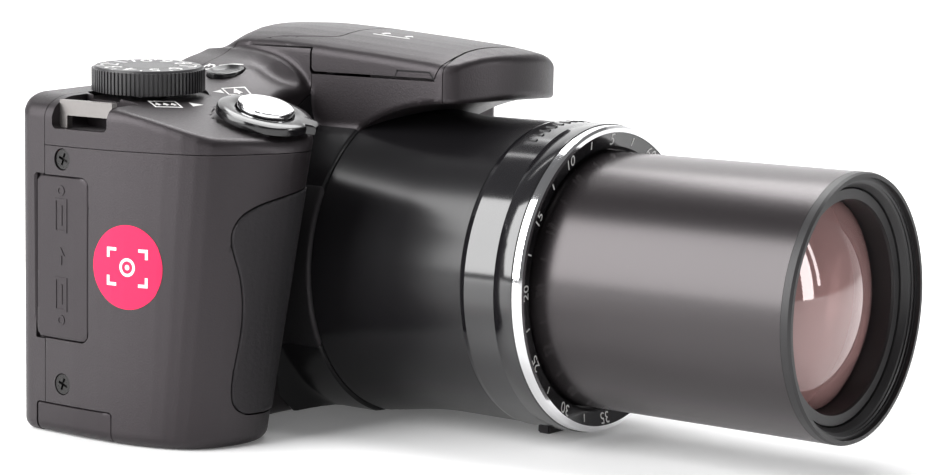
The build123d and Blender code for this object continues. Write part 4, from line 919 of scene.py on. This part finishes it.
# ---------------------------------------------------------------- turned controls
def lathe(name, profile, o, n, steps, body, mat, sharp=30.0, tab=None):
    o, n = np.array(o, float), np.array(n, float)
    x, y = tilt_axes(n)
    p = np.array(profile, float); k = len(p)
    th = np.linspace(0, 2 * math.pi, steps, endpoint=False)
    v = []
    for t in th:
        d = x * math.cos(t) + y * math.sin(t)
        extra = tab(math.degrees(t)) if tab else 0.0
        for r, h in p:
            rr = r + (extra if r > 7.4 else 0.0)
            v.append(o + d * rr + n * h)
    f = []
    for i in range(steps):
        for j in range(k):
            f.append((i * k + j, ((i + 1) % steps) * k + j, ((i + 1) % steps) * k + (j + 1) % k, i * k + (j + 1) % k))
    ob = mesh_object(name, np.array(v), np.array(f), sharp=sharp, body=body)
    bm = bmesh.new(); bm.from_mesh(ob.data); bmesh.ops.recalc_face_normals(bm, faces=bm.faces); bm.to_mesh(ob.data); bm.free()
    dress(ob, mat)
    return ob

def lever_tab(t):
    # small finger tab, on the front side
    c = (t - 298.0 + 180) % 360 - 180
    e = max(0.0, 1 - abs(c) / 15.0)
    s_ = min(1.0, e * 2.2)
    return 1.35 * s_ * s_ * (3 - 2 * s_)
lever = lathe("zoom_lever_form", [(2.6, 0.32), (8.0, 0.32), (8.15, 0.42), (8.2, 1.25), (8.0, 1.7), (7.5, 1.95), (6.2, 2.1), (5.45, 2.05), (5.12, 1.85), (5.05, 0.62), (2.6, 0.6)],
              SHUT_O, SHUT_N, 240, "zoom_lever", M["lever"], tab=lever_tab)
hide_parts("zoom_lever")
button = lathe("shutter_button_form", [(0.001, -3.2), (2.35, -3.2), (2.35, 1.76), (4.6, 1.76), (4.82, 1.95), (4.85, 2.7), (4.72, 2.98), (4.4, 3.13), (3.9, 3.19), (3.0, 3.23), (1.6, 3.26), (0.001, 3.27)],
               SHUT_O, SHUT_N, 160, "shutter_button", M["silver"])
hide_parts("shutter_button")

key = lathe("power_button_form", [(0.001, -2.6), (2.2, -2.6), (3.3, -1.1), (3.42, 0.1), (3.3, 0.4), (3.0, 0.5), (2.7, 0.42), (2.3, 0.12), (1.4, -0.04), (0.001, -0.08)],
            POW_O, POW_N, 120, "power_button", M["gloss_soft"])
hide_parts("power_button")

# ---------------------------------------------------------------- floor, light
floor_me = bpy.data.meshes.new("floor")
bm = bmesh.new()
W, D, Hh, Rr = 3.0, 1.6, 2.0, 0.6
prof = [(-3.0, 0.0)] + [(D - Rr + Rr * math.sin(t), Rr - Rr * math.cos(t)) for t in np.linspace(0, math.pi / 2, 24)] + [(D, Hh)]
rows = []
for x in (-W, W):
    rows.append([bm.verts.new((x, y, z - 0.00002)) for y, z in prof])
for i in range(len(prof) - 1):
    bm.faces.new((rows[0][i], rows[1][i], rows[1][i + 1], rows[0][i + 1]))
bm.to_mesh(floor_me); bm.free()
for p in floor_me.polygons: p.use_smooth = True
floor = bpy.data.objects.new("floor", floor_me)
floor.rotation_euler = (0, 0, -A * 0 + math.radians(-52.95))
bpy.context.scene.collection.objects.link(floor)
fm, nt, bsdf = material("floor_pale")
bsdf.inputs["Base Color"].default_value = (0.97, 0.97, 0.97, 1)
bsdf.inputs["Roughness"].default_value = 0.85
bsdf.inputs["Emission Color"].default_value = (1, 1, 1, 1)
bsdf.inputs["Emission Strength"].default_value = 0.10
floor.data.materials.append(fm)

def area(name, loc, target, size, power, colour=(1, 1, 1)):
    l = bpy.data.lights.new(name, "AREA"); l.shape = "RECTANGLE"; l.size, l.size_y = size; l.energy = power; l.color = colour
    o = bpy.data.objects.new(name, l); bpy.context.scene.collection.objects.link(o)
    o.location = loc
    o.rotation_euler = (Vector(target) - Vector(loc)).to_track_quat("-Z", "Y").to_euler()
    return o

mid = (-0.02, -0.05, 0.03)
area("key_left", (-0.80, 0.47, 0.50), (-0.02, 0.47, 0.03), (1.0, 1.0), 21.0)
area("top_light", (0.40, 0.15, 1.0), mid, (0.7, 0.7), 10.5)
area("front_strip", (0.36, -1.10, 0.24), (0, -0.11, 0.03), (0.17, 0.56), 3.0)
area("front_strip_b", (0.52, -1.02, 0.30), (0, -0.11, 0.03), (0.05, 0.4), 0.5)
area("low_left", (-0.95, -0.55, 0.05), mid, (0.16, 0.9), 0.6)
area("wall_wash", (0.55, 0.42, 1.3), (1.5, 1.1, 0.5), (1.6, 0.8), 15.0)
world = bpy.data.worlds.new("studio"); bpy.context.scene.world = world
world.use_nodes = True
world.node_tree.nodes["Background"].inputs["Color"].default_value = (0.92, 0.92, 0.94, 1)
world.node_tree.nodes["Background"].inputs["Strength"].default_value = 0.20
try:
    bpy.context.scene.view_settings.view_transform = "Standard"
except Exception:
    pass
